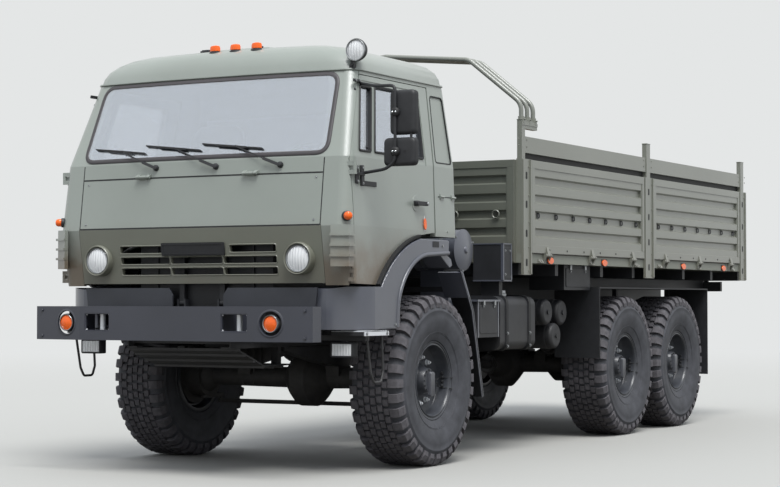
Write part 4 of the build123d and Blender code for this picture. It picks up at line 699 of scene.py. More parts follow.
class TRUCK_OT_tyres(bpy.types.Operator):
    """Build the tyres with shoulder lugs and curved rows of small blocks"""

    bl_idname = "truck.tyres"
    bl_label = "Tyres"

    def execute(self, context):
        sizes = context.scene.truck_sizes
        inner = [(-x, r) for x, r in TYRE_WALL[:-1]]
        carcass = bmesh.new()
        add_spun(carcass, list(TYRE_WALL) + list(reversed(inner)), Vector(), (1, 0, 0), 96, True)
        # Two low ribs round each sidewall
        for r in (0.345, 0.352):
            for x_sign in (1, -1):
                x = x_sign * (0.186 + (r - 0.338) * 0.32)
                add_spun(carcass, ((x, r - 0.002), (x + x_sign * 0.0018, r), (x, r + 0.002)), Vector(),
                         (1, 0, 0), 96)
        copies("tyre_carcass", carcass, "tyre", wheel_spots(), "tyre", smooth=40)

        tread = bmesh.new()
        lug_span = 2 * math.pi / sizes.lug_count
        for k in range(sizes.lug_count):
            for x_sign, shift in ((1, 0), (-1, 0.5)):
                section = [(x_sign * x, r) for x, r in LUG]
                add_ring_block(tread, section, (k + shift) * lug_span, lug_span * LUG_SHARE)
        row_span = 2 * math.pi / sizes.row_count
        half = BLOCK_WIDTH / 2
        for k in range(sizes.row_count):
            for column in range(BLOCK_COLUMNS):
                x = (column - (BLOCK_COLUMNS - 1) / 2) * BLOCK_PITCH
                # The rows bend forward towards both shoulders, and every other column stands half a row further
                angle = (k + 0.5 * (column % 2) + ROW_BEND * (x / 0.1) ** 2) * row_span
                section = ((x - half, BLOCK_FOOT), (x - half + 0.0015, BLOCK_TOP),
                           (x + half - 0.0015, BLOCK_TOP), (x + half, BLOCK_FOOT))
                add_ring_block(tread, section, angle, row_span * BLOCK_SHARE, 0.94)
        copies("tyre_tread", tread, "tread", wheel_spots(), smooth=30)
        return {"FINISHED"}


class TRUCK_OT_wheels(bpy.types.Operator):
    """Build the rims with their lock rings, nuts, hub covers and inflation pipes"""

    bl_idname = "truck.wheels"
    bl_label = "Wheels"

    def execute(self, context):
        sizes = context.scene.truck_sizes
        rim = bmesh.new()
        add_spun(rim, RIM, Vector(), (1, 0, 0), 80, True)
        copies("rim_form", rim, "rim", wheel_spots(), "rim", smooth=32)

        nuts = bmesh.new()
        for k in range(sizes.nut_count):
            spot = polar(NUT_SEAT, NUT_CIRCLE, 2 * math.pi * (k + 0.35) / sizes.nut_count)
            add_spun(nuts, ((0, 0.0005), (0, 0.0215), (0.005, 0.020), (0.006, 0.0165)), spot, (1, 0, 0), 16)
            add_spun(nuts, ((0.006, 0.0165), (0.022, 0.0165), (0.0255, 0.013), (0.0255, 0.009)), spot,
                     (1, 0, 0), 6)
            add_spun(nuts, ((0.0255, 0.009), (0.036, 0.0085), (0.0375, 0.0005)), spot, (1, 0, 0), 12)
        # The nuts take the near-white zinc, whose colour paints their glint
        copies("wheel_nuts", nuts, "bright", wheel_spots(), smooth=30)

        cover = bmesh.new()
        loop = rect(-0.008, -0.118, 0.052, 0.062, 0.018)
        rings = [[cover.verts.new((x, y * s + 0.022 * (1 - s), z * s)) for y, z in loop]
                 for x, s in ((0.126, 1), (0.146, 1), (0.150, 0.94))]
        join_rings(cover, rings)
        cover.faces.new(rings[-1])
        copies("hub_cover", cover, "moulding", wheel_spots(False), smooth=40)

        fittings = bmesh.new()
        for angle in turns(HUB_BOLTS):
            add_spun(fittings, ((0, 0.0075), (0.006, 0.0075), (0.007, 0.0005)),
                     polar(HUB_SEAT, HUB_CIRCLE, angle), (1, 0, 0), 6)
        # Short plugs that stand inwards from the rim's dish, by the inflation pipes
        for angle in (-0.20, -0.07, 0.06, 0.19):
            spot = polar(0.112, 0.2475, angle)
            add_spun(fittings, ((0, 0.011), (0.016, 0.011), (0.020, 0.0005)), spot, -polar(0, 1, angle), 12)
        copies("wheel_fittings", fittings, "abs", wheel_spots(False), smooth=30)

        pipes = bmesh.new()
        for angle in (-0.26, 0.04):
            # In wheel coordinates, so they lose what add_pipe adds
            path = [polar(x, radius, angle) - at(0, 0, 0)
                    for x, radius in ((0.130, 0.04), (0.150, 0.09), (0.100, 0.20), (0.105, 0.243),
                                      (0.150, 0.252), (0.170, 0.268), (0.1705, 0.292))]
            add_pipe(pipes, path, 0.0035, 6)
        copies("inflation_pipes", pipes, "seal", wheel_spots(False), smooth=50)
        return {"FINISHED"}


# Gasket section, from the glass out over the panel's edge
GASKET = ((-0.019, -0.020), (-0.019, 0.002), (-0.012, 0.009), (0.006, 0.009), (0.014, 0.003), (0.015, -0.004))


class TRUCK_OT_glazing(bpy.types.Operator):
    """Fit the windscreen's pane, the rubber gaskets and the wipers"""

    bl_idname = "truck.glazing"
    bl_label = "Glazing and wipers"

    # Wiper pivot, meeting point and blade ends on the front, as (x, z)
    WIPERS = (((-0.349, 2.132), (-0.665, 2.262), (-0.929, 2.288), (-0.464, 2.242)),
              ((0.163, 2.125), (-0.190, 2.265), (-0.465, 2.296), (0.019, 2.245)),
              ((0.680, 2.121), (0.320, 2.262), (0.027, 2.290), (0.526, 2.240)))

    # The blades' height lies along the raked front
    RAKE = (0, -1, 0.3)

    def execute(self, context):
        loop = rounded(SCREEN, 0.09, True, 10)
        # Long straight runs get steps of their own, so that they follow the bowed front
        loop = finer(loop, 0.12)
        make_piece("screen_gasket", build((add_bead, loop, on_front, GASKET)), "gasket", "cab", smooth=50)
        # The bowed pane stands in the gasket, a little proud of the panel
        make_piece("screen_pane", build((add_patch, loop, on_front, 0.0005, 0.0045)), "glass", "cab", smooth=60,
                   stands_for=("windscreen",))
        for side, sign in SIDES:
            bm = bmesh.new()
            for window in (QUARTER_LIGHT, MAIN_PANE):
                loop = rounded(window, 0.012, True, 3)
                add_bead(bm, loop, on_side, ((-0.008, -0.022), (-0.008, 0.001), (-0.003, 0.004), (0.004, 0.004),
                                             (0.008, -0.002)))
            if sign < 0:
                flipped(bm)
            make_piece(f"window_gaskets_{side}", bm, "seal", f"door_{side}", smooth=50)

        arms, blades = empty(2)
        for pivot, meet, start, end in self.WIPERS:
            add_spun(arms, ((-0.004, 0.022), (0.012, 0.022), (0.022, 0.016), (0.026, 0.0005)),
                     at(*on_front(*pivot)), (0, -1, 0.28), 16)
            mid = [p + (m - p) * 0.34 for p, m in zip(pivot, meet)]
            add_bar(arms, on_front(*pivot, 0.018), on_front(*mid, 0.030), 0.020, 0.010, self.RAKE)
            add_bar(arms, on_front(*mid, 0.030), on_front(*meet, 0.030), 0.009, 0.006, self.RAKE)
            add_rod(arms, on_front(*meet, 0.022), on_front(*meet, 0.038), 0.009)
            line = straight(start, end, 8)
            for one, two in zip(line, line[1:]):
                add_bar(blades, on_front(*one, 0.015), on_front(*two, 0.015), 0.008, 0.020, self.RAKE)
            add_bar(blades, on_front(*line[2], 0.026), on_front(*line[6], 0.026), 0.013, 0.008, self.RAKE)
        make_piece("wiper_arms", arms, "abs", "cab", smooth=40)
        make_piece("wiper_blades", blades, "seal", "cab", smooth=40)
        return {"FINISHED"}


def lamp_parts(rims, bowls, lenses, bulbs, spot, r, depth):
    """Add a round lamp: its chrome ring, silvered bowl, domed lens and bulb, from its seat plane outward."""
    centre, axis = at(*spot), (0, -1, 0)
    add_spun(rims, ((-0.006, r), (0.008, r), (0.012, r - 0.003), (0.010, r - 0.007), (-0.006, r - 0.008)),
             centre, axis, 48, True)
    add_spun(bowls, ((-0.004, r - 0.008), (-depth * 0.35, r * 0.84), (-depth * 0.75, r * 0.56),
                     (-depth, r * 0.2), (-depth, 0.0005)), centre, axis, 48)
    dome = [(0.002 + r * 0.17 * (1 - (k / 6) ** 2), max((r - 0.008) * k / 6, 0.0005)) for k in range(7)]
    back = [(reach - 0.004, reach_r) for reach, reach_r in reversed(dome)]
    add_spun(lenses, dome + back, centre, axis, 48, True)
    add_spun(bulbs, ((-depth, 0.009), (-depth * 0.5, 0.009), (-depth * 0.3, 0.0085), (-depth * 0.22, 0.0005)),
             centre, axis, 16)


def finish_lamps(name, meshes, body, stands_for=(), finishes=("zinc", "reflector", "lens", "zinc")):
    """Turn the four meshes of a group of lamps into pieces."""
    for part, bm, finish in zip(("rims", "bowls", "lenses", "bulbs"), meshes, finishes):
        make_piece(f"{name}_{part}", bm, finish, body, stands_for=stands_for, smooth=40)


class TRUCK_OT_front_lamps(bpy.types.Operator):
    """Build the headlamps, corner lamps, roof markers and searchlight"""

    bl_idname = "truck.front_lamps"
    bl_label = "Cab lamps"

    def execute(self, context):
        meshes = empty(4)
        shells, black, amber = empty(3)
        for sign in (1, -1):
            spot = (sign * HEADLAMP[0], *HEADLAMP[1:])
            lamp_parts(*meshes, spot, 0.094, 0.065)
            add_spun(shells, ((-0.058, 0.112), (0.002, 0.1115), (0.011, 0.109), (0.016, 0.1045), (0.014, 0.099),
                              (0.004, 0.096), (-0.058, 0.096)), at(*spot), (0, -1, 0), 56, True)
        finish_lamps("headlamp", meshes, "cab", ("cab_lamps",))
        # The bezels take the grille's darker enamel, which paints the shade under the flap
        make_piece("headlamp_bezels", shells, "grille enamel", "cab", smooth=40)

        # Corner turn lamps on the rounded front corners
        for sign in (1, -1):
            axis = Vector((sign * 0.80, -0.60, 0))
            seat = at(sign * CORNER_LAMP[0], *CORNER_LAMP[1:])
            add_spun(black, ((-0.012, 0.034), (0.006, 0.034), (0.010, 0.029), (0.010, 0.0005)), seat, axis, 24)
            add_spun(amber, ((0, 0.028), (0.022, 0.028), (0.034, 0.023), (0.040, 0.012), (0.041, 0.0005)),
                     seat + axis * 0.010, axis, 24)
        # Roof markers on their feet
        for x in (-0.100, 0.074, 0.255):
            for bm, low, high, half_x, half_y in ((black, 2.960, 2.987, 0.050, 0.030),
                                                  (amber, 2.987, 3.028, 0.042, 0.024)):
                loops = [ellipse(x, -0.915, half_x * s, half_y * s, 24) for s in (1, 1, 0.86, 0.5)]
                levels = (low, low + (high - low) * 0.55, high - 0.005, high)
                rings = [[bm.verts.new(at(u, v, z)) for u, v in loop] for loop, z in zip(loops, levels)]
                join_rings(bm, rings, caps=True)
        make_piece("lamp_feet", black, "abs", "cab")
        make_piece("amber_lenses", amber, "amber", "cab", smooth=40)

        # Searchlight: tapered housing, fork and foot on the gutter
        x, y, z = SEARCHLIGHT
        meshes = empty(4)
        lamp_parts(*meshes, (x, y - 0.002, z), 0.077, 0.05)
        finish_lamps("searchlight", meshes, "cab")
        profile = ((-0.082, 0.0005), (-0.082, 0.030), (-0.074, 0.046), (-0.040, 0.068), (-0.010, 0.0785),
                   (0.004, 0.080), (0.004, 0.077))
        housing = build((add_spun, profile, at(x, y, z), (0, -1, 0), 48),
                        (add_box, (x - 0.047, y + 0.008, z - 0.118), (x - 0.027, y + 0.030, z - 0.068)),
                        (add_box, (x - 0.055, y + 0.004, z - 0.126), (x - 0.019, y + 0.034, z - 0.090)),
                        (add_bolt, (x - 0.037, y + 0.003, z - 0.104), (0, -1, 0), 0.008, 0.008))
        make_piece("searchlight_housing", housing, "abs", "cab", smooth=40)
        return {"FINISHED"}


class TRUCK_OT_front_panels(bpy.types.Operator):
    """Build the grille's bare name place, lips and radiator core, and the flap's strips"""

    bl_idname = "truck.front_panels"
    bl_label = "Grille and flap"

    # Grille openings: low and high edge, ends of each
    OPENINGS = ((1.532, 1.578, ((-0.655, -0.285), (0.285, 0.655))),
                (1.455, 1.500, ((-0.655, -0.230), (-0.215, 0.215), (0.230, 0.655))),
                (1.378, 1.423, ((-0.655, -0.230), (-0.215, 0.215), (0.230, 0.655))))
    # Fins of the radiator
    FINS = 40
    FIN_PITCH = 0.0112

    def execute(self, context):
        lips = bmesh.new()
        for low, high, ends in self.OPENINGS:
            for x0, x1 in ends:
                loop = finer(rect(x0, low, x1, high, 0.010, 3), 0.1)
                add_bead(lips, loop, on_front, ((-0.001, -0.012), (0.001, 0.001), (0.005, 0.0035),
                                                (0.009, 0.001), (0.010, -0.001)))
        # The lips take the grille's darker enamel, which paints the shade under the flap
        make_piece("grille_lips", lips, "grille enamel", "cab", smooth=50)

        loop = finer(rect(-0.285, 1.510, 0.245, 1.600, 0.008, 3), 0.06)
        inner = finer(rect(-0.273, 1.522, 0.233, 1.588, 0.004, 3), 0.06)
        plate = build((add_pad, loop, on_front, -0.004, 0.012), (add_bead, inner, on_front, (
            (-0.004, 0.011), (-0.003, 0.0145), (0.003, 0.0145), (0.004, 0.011))))
        make_piece("name_place", plate, "abs", "cab")

        core = bmesh.new()
        add_box(core, (-0.56, -1.171, 1.15), (0.56, -1.166, 1.60))
        for k in range(self.FINS):
            z = 1.158 + k * self.FIN_PITCH
            add_box(core, (-0.395, -1.177, z), (0.395, -1.171, z + 0.004))
        for x in (-0.412, 0.398):
            add_box(core, (x, -1.185, 1.14), (x + 0.014, -1.166, 1.61))
        make_piece("radiator_core", core, "chassis", "chassis", smooth=30)

        # Black strips in the gaps round the flap and over the grille panel, which paint the shade inside the
        # gaps
        strips = bmesh.new()
        for z in (2.0625, 1.7075):
            add_bead(strips, straight((-1.010, z), (1.010, z), 24), on_front,
                     ((-0.005, -0.014), (-0.005, 0.001), (0.005, 0.001), (0.005, -0.014)), False)
        # The gaps at the flap's ends run on up the scuttle
        for x in (-1.0125, 1.0125):
            add_bead(strips, straight((x, 1.708), (x, 2.164), 12), on_front,
                     ((-0.0035, -0.012), (-0.0035, 0.001), (0.0035, 0.001), (0.0035, -0.012)), False)
        make_piece("flap_gap_shade", strips, "seal", "cab", smooth=50)

        # Screws on the flap's ends
        screws = bmesh.new()
        for x in (-0.96, 0.96):
            for z in (1.742, 2.030):
                add_bolt(screws, on_front(x, z), (0, -1, 0), 0.006, 0.005)
        make_piece("flap_screws", screws, "zinc", "front_flap", smooth=30)
        return {"FINISHED"}


class TRUCK_OT_doors(bpy.types.Operator):
    """Build the door handles, reflectors, hinge plates and bare number plates"""

    bl_idname = "truck.doors"
    bl_label = "Door fittings"

    def execute(self, context):
        edge = context.scene.truck_sizes.edge_radius
        for side, sign in SIDES:
            black = build(
                # Lever on its dish
                (add_pad, rect(-0.360, 1.872, -0.200, 1.902, 0.010), on_side, 0.020, 0.044),
                (add_pad, rect(-0.352, 1.868, -0.312, 1.906, 0.010), on_side, -0.004, 0.030),
                # Hinge plates of the mirror arm, and the bare number plate
                (add_pad, rect(-1.172, 1.984, -1.134, 2.106, 0.006), on_side, -0.001, 0.012),
                (add_pad, rect(-1.104, 1.972, -1.066, 2.112, 0.006), on_side, -0.001, 0.016),
                (add_pad, rect(-1.172, 2.040, -1.066, 2.060, 0.004), on_side, 0.010, 0.020),
                (add_pad, rect(-1.070, 1.974, -0.884, 2.008, 0.005), on_side, -0.001, 0.007),
                (add_pad, rect(-1.040, 2.690, -0.945, 2.712, 0.004), on_side, -0.002, 0.010))
            bolts = bmesh.new()
            for y, z in ((-1.153, 2.000), (-1.153, 2.090), (-1.085, 1.990), (-1.085, 2.095), (-1.020, 2.701),
                         (-0.965, 2.701)):
                add_bolt(bolts, on_side(y, z, 0.014), (1, 0, 0.2), 0.007, 0.006)
            add_spun(bolts, ((0, 0.012), (0.008, 0.012), (0.012, 0.009), (0.012, 0.0005)),
                     at(*on_side(-0.214, 1.887, 0.040)), (1, 0, 0), 16)
            dish = build((add_pad, ellipse(-0.318, 1.887, 0.052, 0.058, 28), on_side, -0.001, 0.004))
            amber = build((add_pad, ellipse(-0.194, 1.744, 0.021, 0.042), on_side, 0.003, 0.011))
            base = build((add_pad, ((-0.194, 1.682), (-0.176, 1.744), (-0.194, 1.806), (-0.212, 1.744)),
                          on_side, -0.001, 0.003))
            knobs = bmesh.new()
            for y, z in ((-1.062, 2.238), (-0.948, 2.244), (-1.000, 2.640)):
                add_dome(knobs, on_side(y, z, -0.018), (1, 0, 0.1), 0.012, 0.010, 16)
            for name, bm, finish, bevel in (
                    ("door_black", black, "abs", edge), ("door_bolts", bolts, "zinc", 0),
                    ("door_dish", dish, "cab enamel", 0.002), ("door_reflector", amber, "amber", edge),
                    ("door_reflector_base", base, "bright", 0.001), ("window_knobs", knobs, "abs", 0)):
                if sign < 0:
                    flipped(bm)
                make_piece(f"{name}_{side}", bm, finish, f"door_{side}", bevel)
        return {"FINISHED"}


# Mirror heads: low and high z, first and last x
MIRROR_HEADS = ((2.310, 2.610, 1.420, 1.615), (2.100, 2.290, 1.372, 1.615))
MIRROR_FACE = -1.077
# The right mirrors are folded back about the line through their arm's two ends
MIRROR_FOLD = math.radians(-72)
FOLD_START = (-1.200, -1.060, 2.060)
FOLD_RUN = Vector((0.092, 0.130, 0.630))


class TRUCK_OT_mirrors(bpy.types.Operator):
    """Build the mirror arms, their domed heads, clamps and glasses"""

    bl_idname = "truck.mirrors"
    bl_label = "Mirrors"

    def execute(self, context):
        for side, sign in SIDES:
            arm = bmesh.new()
            add_pipe(arm, [(1.112, -0.930, 2.689), (1.290, -1.040, 2.650), (1.470, -1.085, 2.640),
                           (1.470, -1.085, 2.130), (1.400, -1.085, 2.080), (1.206, -1.060, 2.060)], 0.011, 12)
            add_rod(arm, (1.580, -1.060, 2.285), (1.580, -1.060, 2.315), 0.009)
            heads, glass, clamps = empty(3)
            for low, high, x0, x1 in MIRROR_HEADS:
                rings = []
                for depth, inset in ((0.0, 0.024), (0.003, 0.012), (0.010, 0.004), (0.020, 0.0), (0.054, 0.0),
                                     (0.057, 0.003)):
                    loop = rect(x0 + inset, low + inset, x1 - inset, high - inset, 0.036 - inset * 0.6, 5)
                    rings.append([heads.verts.new(at(u, MIRROR_FACE + depth, v)) for u, v in loop])
                join_rings(heads, rings, caps=True)
                pane = rect(x0 + 0.010, low + 0.010, x1 - 0.010, high - 0.010, 0.028, 5)
                add_prism(glass, pane, "y", MIRROR_FACE + 0.0565, MIRROR_FACE + 0.0585)
                z = (low + high) / 2
                add_spun(clamps, ((-0.012, 0.034), (0.006, 0.033), (0.014, 0.026), (0.018, 0.018),
                                  (0.018, 0.0005)), at(1.470, -1.085, z), (0, -1, 0), 24)
                for x in (1.458, 1.482):
                    add_dome(glass, (x, -1.103, z), (0, -1, 0), 0.0085, 0.007, 12, 3)
            # Small square drain in the lower head's shell
            add_box(clamps, (1.530, -1.0785, 2.185), (1.548, -1.0765, 2.203))
            for name, bm, finish in (("mirror_arm", arm, "abs"), ("mirror_heads", heads, "abs"),
                                     ("mirror_glass", glass, "mirror"), ("mirror_clamps", clamps, "seal")):
                if sign < 0:
                    flipped(bm)
                    bmesh.ops.rotate(bm, verts=bm.verts[:], cent=at(*FOLD_START),
                                     matrix=Matrix.Rotation(MIRROR_FOLD, 3, FOLD_RUN))
                make_piece(f"{name}_{side}", bm, finish, f"door_{side}", smooth=40,
                           stands_for=(f"mirrors_{side}",) if name == "mirror_heads" else ())
        return {"FINISHED"}


# Roof from the gutter up: height, half width, y of the front corners, bow of the front, y of the rear
ROOF = ((2.780, 1.104, -0.985, 0.060, 0.345), (2.835, 1.092, -0.970, 0.063, 0.343),
        (2.885, 1.060, -0.945, 0.067, 0.337), (2.928, 1.000, -0.915, 0.072, 0.322),
        (2.962, 0.915, -0.880, 0.076, 0.295), (2.985, 0.790, -0.835, 0.080, 0.245),
        (2.999, 0.600, -0.750, 0.080, 0.160), (3.006, 0.350, -0.600, 0.060, 0.050))


def roof_ring(bm, z, half, corner, bow, rear):
    """One level of the roof: a bowed front, straight sides and four rounded corners."""
    turn, steps = min(0.09, half / 3), 7
    places = []
    for k in range(17):
        x = (half - turn) * (k / 8 - 1)
        places.append((x, corner - bow * (1 - (x / half) ** 2)))
    for u, v, start in ((half - turn, corner + turn, -90), (half - turn, rear - turn, 0),
                        (-half + turn, rear - turn, 90), (-half + turn, corner + turn, 180)):
        for k in range(1, steps + 1):
            angle = math.radians(start + 90 * k / steps)
            places.append((u + turn * math.cos(angle), v + turn * math.sin(angle)))
    return [bm.verts.new(at(x, y, z)) for x, y in places[:-1]]


class TRUCK_OT_cab_trim(bpy.types.Operator):
    """Build the domed roof with its gutter and hatch, the side flap seams and the rear panel's gasket"""

    bl_idname = "truck.cab_trim"
    bl_label = "Cab trim"

    def execute(self, context):
        # Domed roof skin with its lining, closed at the gutter
        roof = bmesh.new()
        outer = [roof_ring(roof, *level) for level in ROOF]
        lining = [roof_ring(roof, z - 0.022, half - 0.03, corner + 0.03, bow, rear - 0.03)
                  for z, half, corner, bow, rear in reversed(ROOF)]
        join_rings(roof, lining + outer, caps=True)
        make_piece("roof_skin", roof, "cab enamel", "cab", smooth=60, stands_for=("cab_roof",))
        gutter = bmesh.new()
        edges = [roof_ring(gutter, z, ROOF[0][1] + out, ROOF[0][2] - out, ROOF[0][3], ROOF[0][4] + out)
                 for z, out in ((2.792, 0.000), (2.792, 0.010), (2.787, 0.012), (2.781, 0.012), (2.780, 0.000))]
        join_rings(gutter, edges, along=True)
        make_piece("roof_gutter", gutter, "cab enamel", "cab", smooth=50)

        # Hatch: dark seal, crowned lid, hinges and pull
        hatch = build((add_prism, rect(-0.482, -0.622, 0.182, -0.038, 0.07), "z", 3.000, 3.020))
        lid = bmesh.new()
        levels = [[lid.verts.new(at(u, v, z)) for u, v in rect(-0.470 + inset, -0.610 + inset, 0.170 - inset,
                                                                -0.050 - inset, 0.06, 5)]
                  for z, inset in ((3.018, 0.0), (3.034, 0.0), (3.042, 0.012), (3.046, 0.05))]
        join_rings(lid, levels, caps=True)
        make_piece("hatch_lid", lid, "cab enamel", "cab", smooth=40)
        for x in (-0.38, 0.08):
            add_box(hatch, (x - 0.03, -0.632, 3.014), (x + 0.03, -0.602, 3.048))
            add_rod(hatch, (x - 0.04, -0.632, 3.034), (x + 0.04, -0.632, 3.034), 0.008)
        add_pipe(hatch, [(-0.25, -0.10, 3.040), (-0.25, -0.10, 3.072), (-0.05, -0.10, 3.072),
                         (-0.05, -0.10, 3.040)], 0.007, 8)
        make_piece("hatch_fittings", hatch, "abs", "cab")

        # Seams and small hinges of the service flap behind each door
        seams, hinges = empty(2)
        add_bead(seams, straight((0.035, 1.952), (0.318, 1.952), 6), on_side,
                 ((-0.003, -0.004), (-0.003, 0.0012), (0.003, 0.0012), (0.003, -0.004)), False)
        for y in (0.085, 0.262):
            add_rod(hinges, on_side(y - 0.032, 1.953, 0.008), on_side(y + 0.032, 1.953, 0.008), 0.0085)
            add_pad(hinges, rect(y - 0.024, 1.930, y + 0.024, 1.976, 0.004), on_side, -0.001, 0.005)
        add_bolt(hinges, on_side(0.165, 1.700), (1, 0, 0), 0.007, 0.005)
        # Rubber round the blind panel behind each door window
        panel = rounded(((0.016, 2.200), (0.268, 2.200), (0.268, 2.695), (0.072, 2.695)), 0.03, True)
        add_bead(seams, panel, on_side, ((-0.004, -0.008), (-0.004, 0.002), (0.004, 0.002), (0.004, -0.008)))
        make_piece("service_seams", seams, "seal", "cab", smooth=50, both=True)
        make_piece("service_hinges", hinges, "cab enamel", "cab", 0.001, both=True)
        return {"FINISHED"}


def arc_through(one, two, three):
    """Points of the circle's arc through three points, as (u, v)."""
    steps = 14
    a, b, c = (Vector(p) for p in (one, two, three))
    d = 2 * (a.x * (b.y - c.y) + b.x * (c.y - a.y) + c.x * (a.y - b.y))
    u = (a.length_squared * (b.y - c.y) + b.length_squared * (c.y - a.y) + c.length_squared * (a.y - b.y)) / d
    v = (a.length_squared * (c.x - b.x) + b.length_squared * (a.x - c.x) + c.length_squared * (b.x - a.x)) / d
    centre = Vector((u, v))
    angles = [math.atan2(p.y - v, p.x - u) for p in (a, b, c)]
    radius = (a - centre).length
    turn = angles[2] - angles[0]
    if not min(angles[0], angles[2]) <= angles[1] <= max(angles[0], angles[2]):
        turn -= math.copysign(2 * math.pi, turn)
    return [centre + Vector((math.cos(angle), math.sin(angle))) * radius
            for angle in (angles[0] + turn * k / steps for k in range(steps + 1))]


class TRUCK_OT_wings(bpy.types.Operator):
    """Build the wing lips and bolts, the step treads and the bolted mudguard strips"""

    bl_idname = "truck.wings"
    bl_label = "Wings and steps"

    # Grip ribs across each step
    TREAD_RIBS = 14
    RIB_PITCH = 0.0238

    def execute(self, context):
        lip = bmesh.new()
        line = [Vector((-0.652, 1.012)), Vector((-0.634, 1.180))]
        line += arc_through((-0.634, 1.190), (-0.463, 1.426), (-0.170, 1.526))[1:]
        line += [Vector((0.0, 1.535)), Vector((0.124, 1.542))]
        add_bead(lip, line, on_body, ((-0.016, -0.004), (-0.015, 0.006), (-0.008, 0.012), (0.004, 0.012),
                                      (0.014, 0.005), (0.017, -0.002)), False)
        make_piece("wing_lips", lip, "moulding", "chassis", smooth=60, both=True)

        # Sealing rubber along the wing's upper edge, up to the door's lower edge
        seal = bmesh.new()
        add_bead(seal, arc_through((-0.293, 1.660), (-0.633, 1.536), (-0.888, 1.306)), on_body,
                 ((-0.014, -0.060), (-0.014, -0.008), (-0.008, -0.004), (0.006, -0.004), (0.006, -0.060)),
                 False)
        make_piece("wing_seals", seal, "seal", "chassis", smooth=50, both=True)

        patch = build((add_pad, rect(-0.125, 1.580, -0.030, 1.622, 0.006), on_body, -0.001, 0.0025))
        make_piece("wing_patches", patch, "abs", "chassis", both=True)

        treads = bmesh.new()
        add_box(treads, (1.000, -1.128, 0.985), (1.262, -0.792, 0.990))
        add_box(treads, (1.253, -1.128, 0.958), (1.262, -0.792, 0.990))
        for k in range(self.TREAD_RIBS):
            y = -1.114 + k * self.RIB_PITCH
            add_box(treads, (1.066, y, 0.990), (BODY_HALF, y + 0.007, 0.994))
        make_piece("step_treads", treads, "bright", "chassis", 0.001, both=True)

        bolts = bmesh.new()
        for spot, axis in (((BODY_HALF, 0.030, 1.592), (1, 0, 0)), ((BODY_HALF, -0.680, 1.03), (1, 0, 0)),
                           ((1.262, -1.100, 0.973), (1, 0, 0)), ((1.262, -0.820, 0.973), (1, 0, 0)),
                           ((1.230, 0.372, 1.358), (0, 0.86, 0.5)), ((1.070, 0.372, 1.358), (0, 0.86, 0.5)),
                           ((1.230, 0.440, 1.243), (0, 0.86, 0.5)), ((1.150, 0.440, 1.243), (0, 0.86, 0.5))):
            add_bolt(bolts, spot, axis, 0.009, 0.007)
        make_piece("wing_bolts", bolts, "zinc", "chassis", smooth=30, both=True)

        # Edge flange and cover plate of the strips behind the front wheels
        strip = bmesh.new()
        for (y0, z0), (y1, z1) in (((0.330, 1.420), (0.518, 1.120)), ((0.518, 1.120), (0.688, 0.470))):
            add_bar(strip, (1.246, y0 + 0.006, z0), (1.246, y1 + 0.006, z1), 0.030, 0.008, (1, 0, 0))
        add_bar(strip, (1.150, 0.345, 1.408), (1.150, 0.462, 1.220), 0.016, 0.204, (1, 0, 0))
        make_piece("strip_flanges", strip, "moulding", "chassis", 0.002, both=True)

        # Wedge flap between the wing's rear end and the strip
        wedge = build((add_prism, ((0.010, 1.528), (0.128, 1.528), (0.196, 1.500), (0.214, 1.452),
                                   (0.170, 1.434)), "x", 1.060, 1.236))
        make_piece("wing_wedges", wedge, "moulding", "chassis", 0.006, both=True)
        return {"FINISHED"}


def on_bumper(x, z, out=0.0):
    """A point on the bumper's front, which sweeps back by 60 mm over the 426 mm towards each end."""
    return x, -1.670 + max(0.0, abs(x) - 0.720) / 0.426 * 0.060 - out, z


def on_fog_lamp(x, z, out=0.0):
    """A point on the face of the fog lamps."""
    return x, FOG_LAMP[1] - out, z


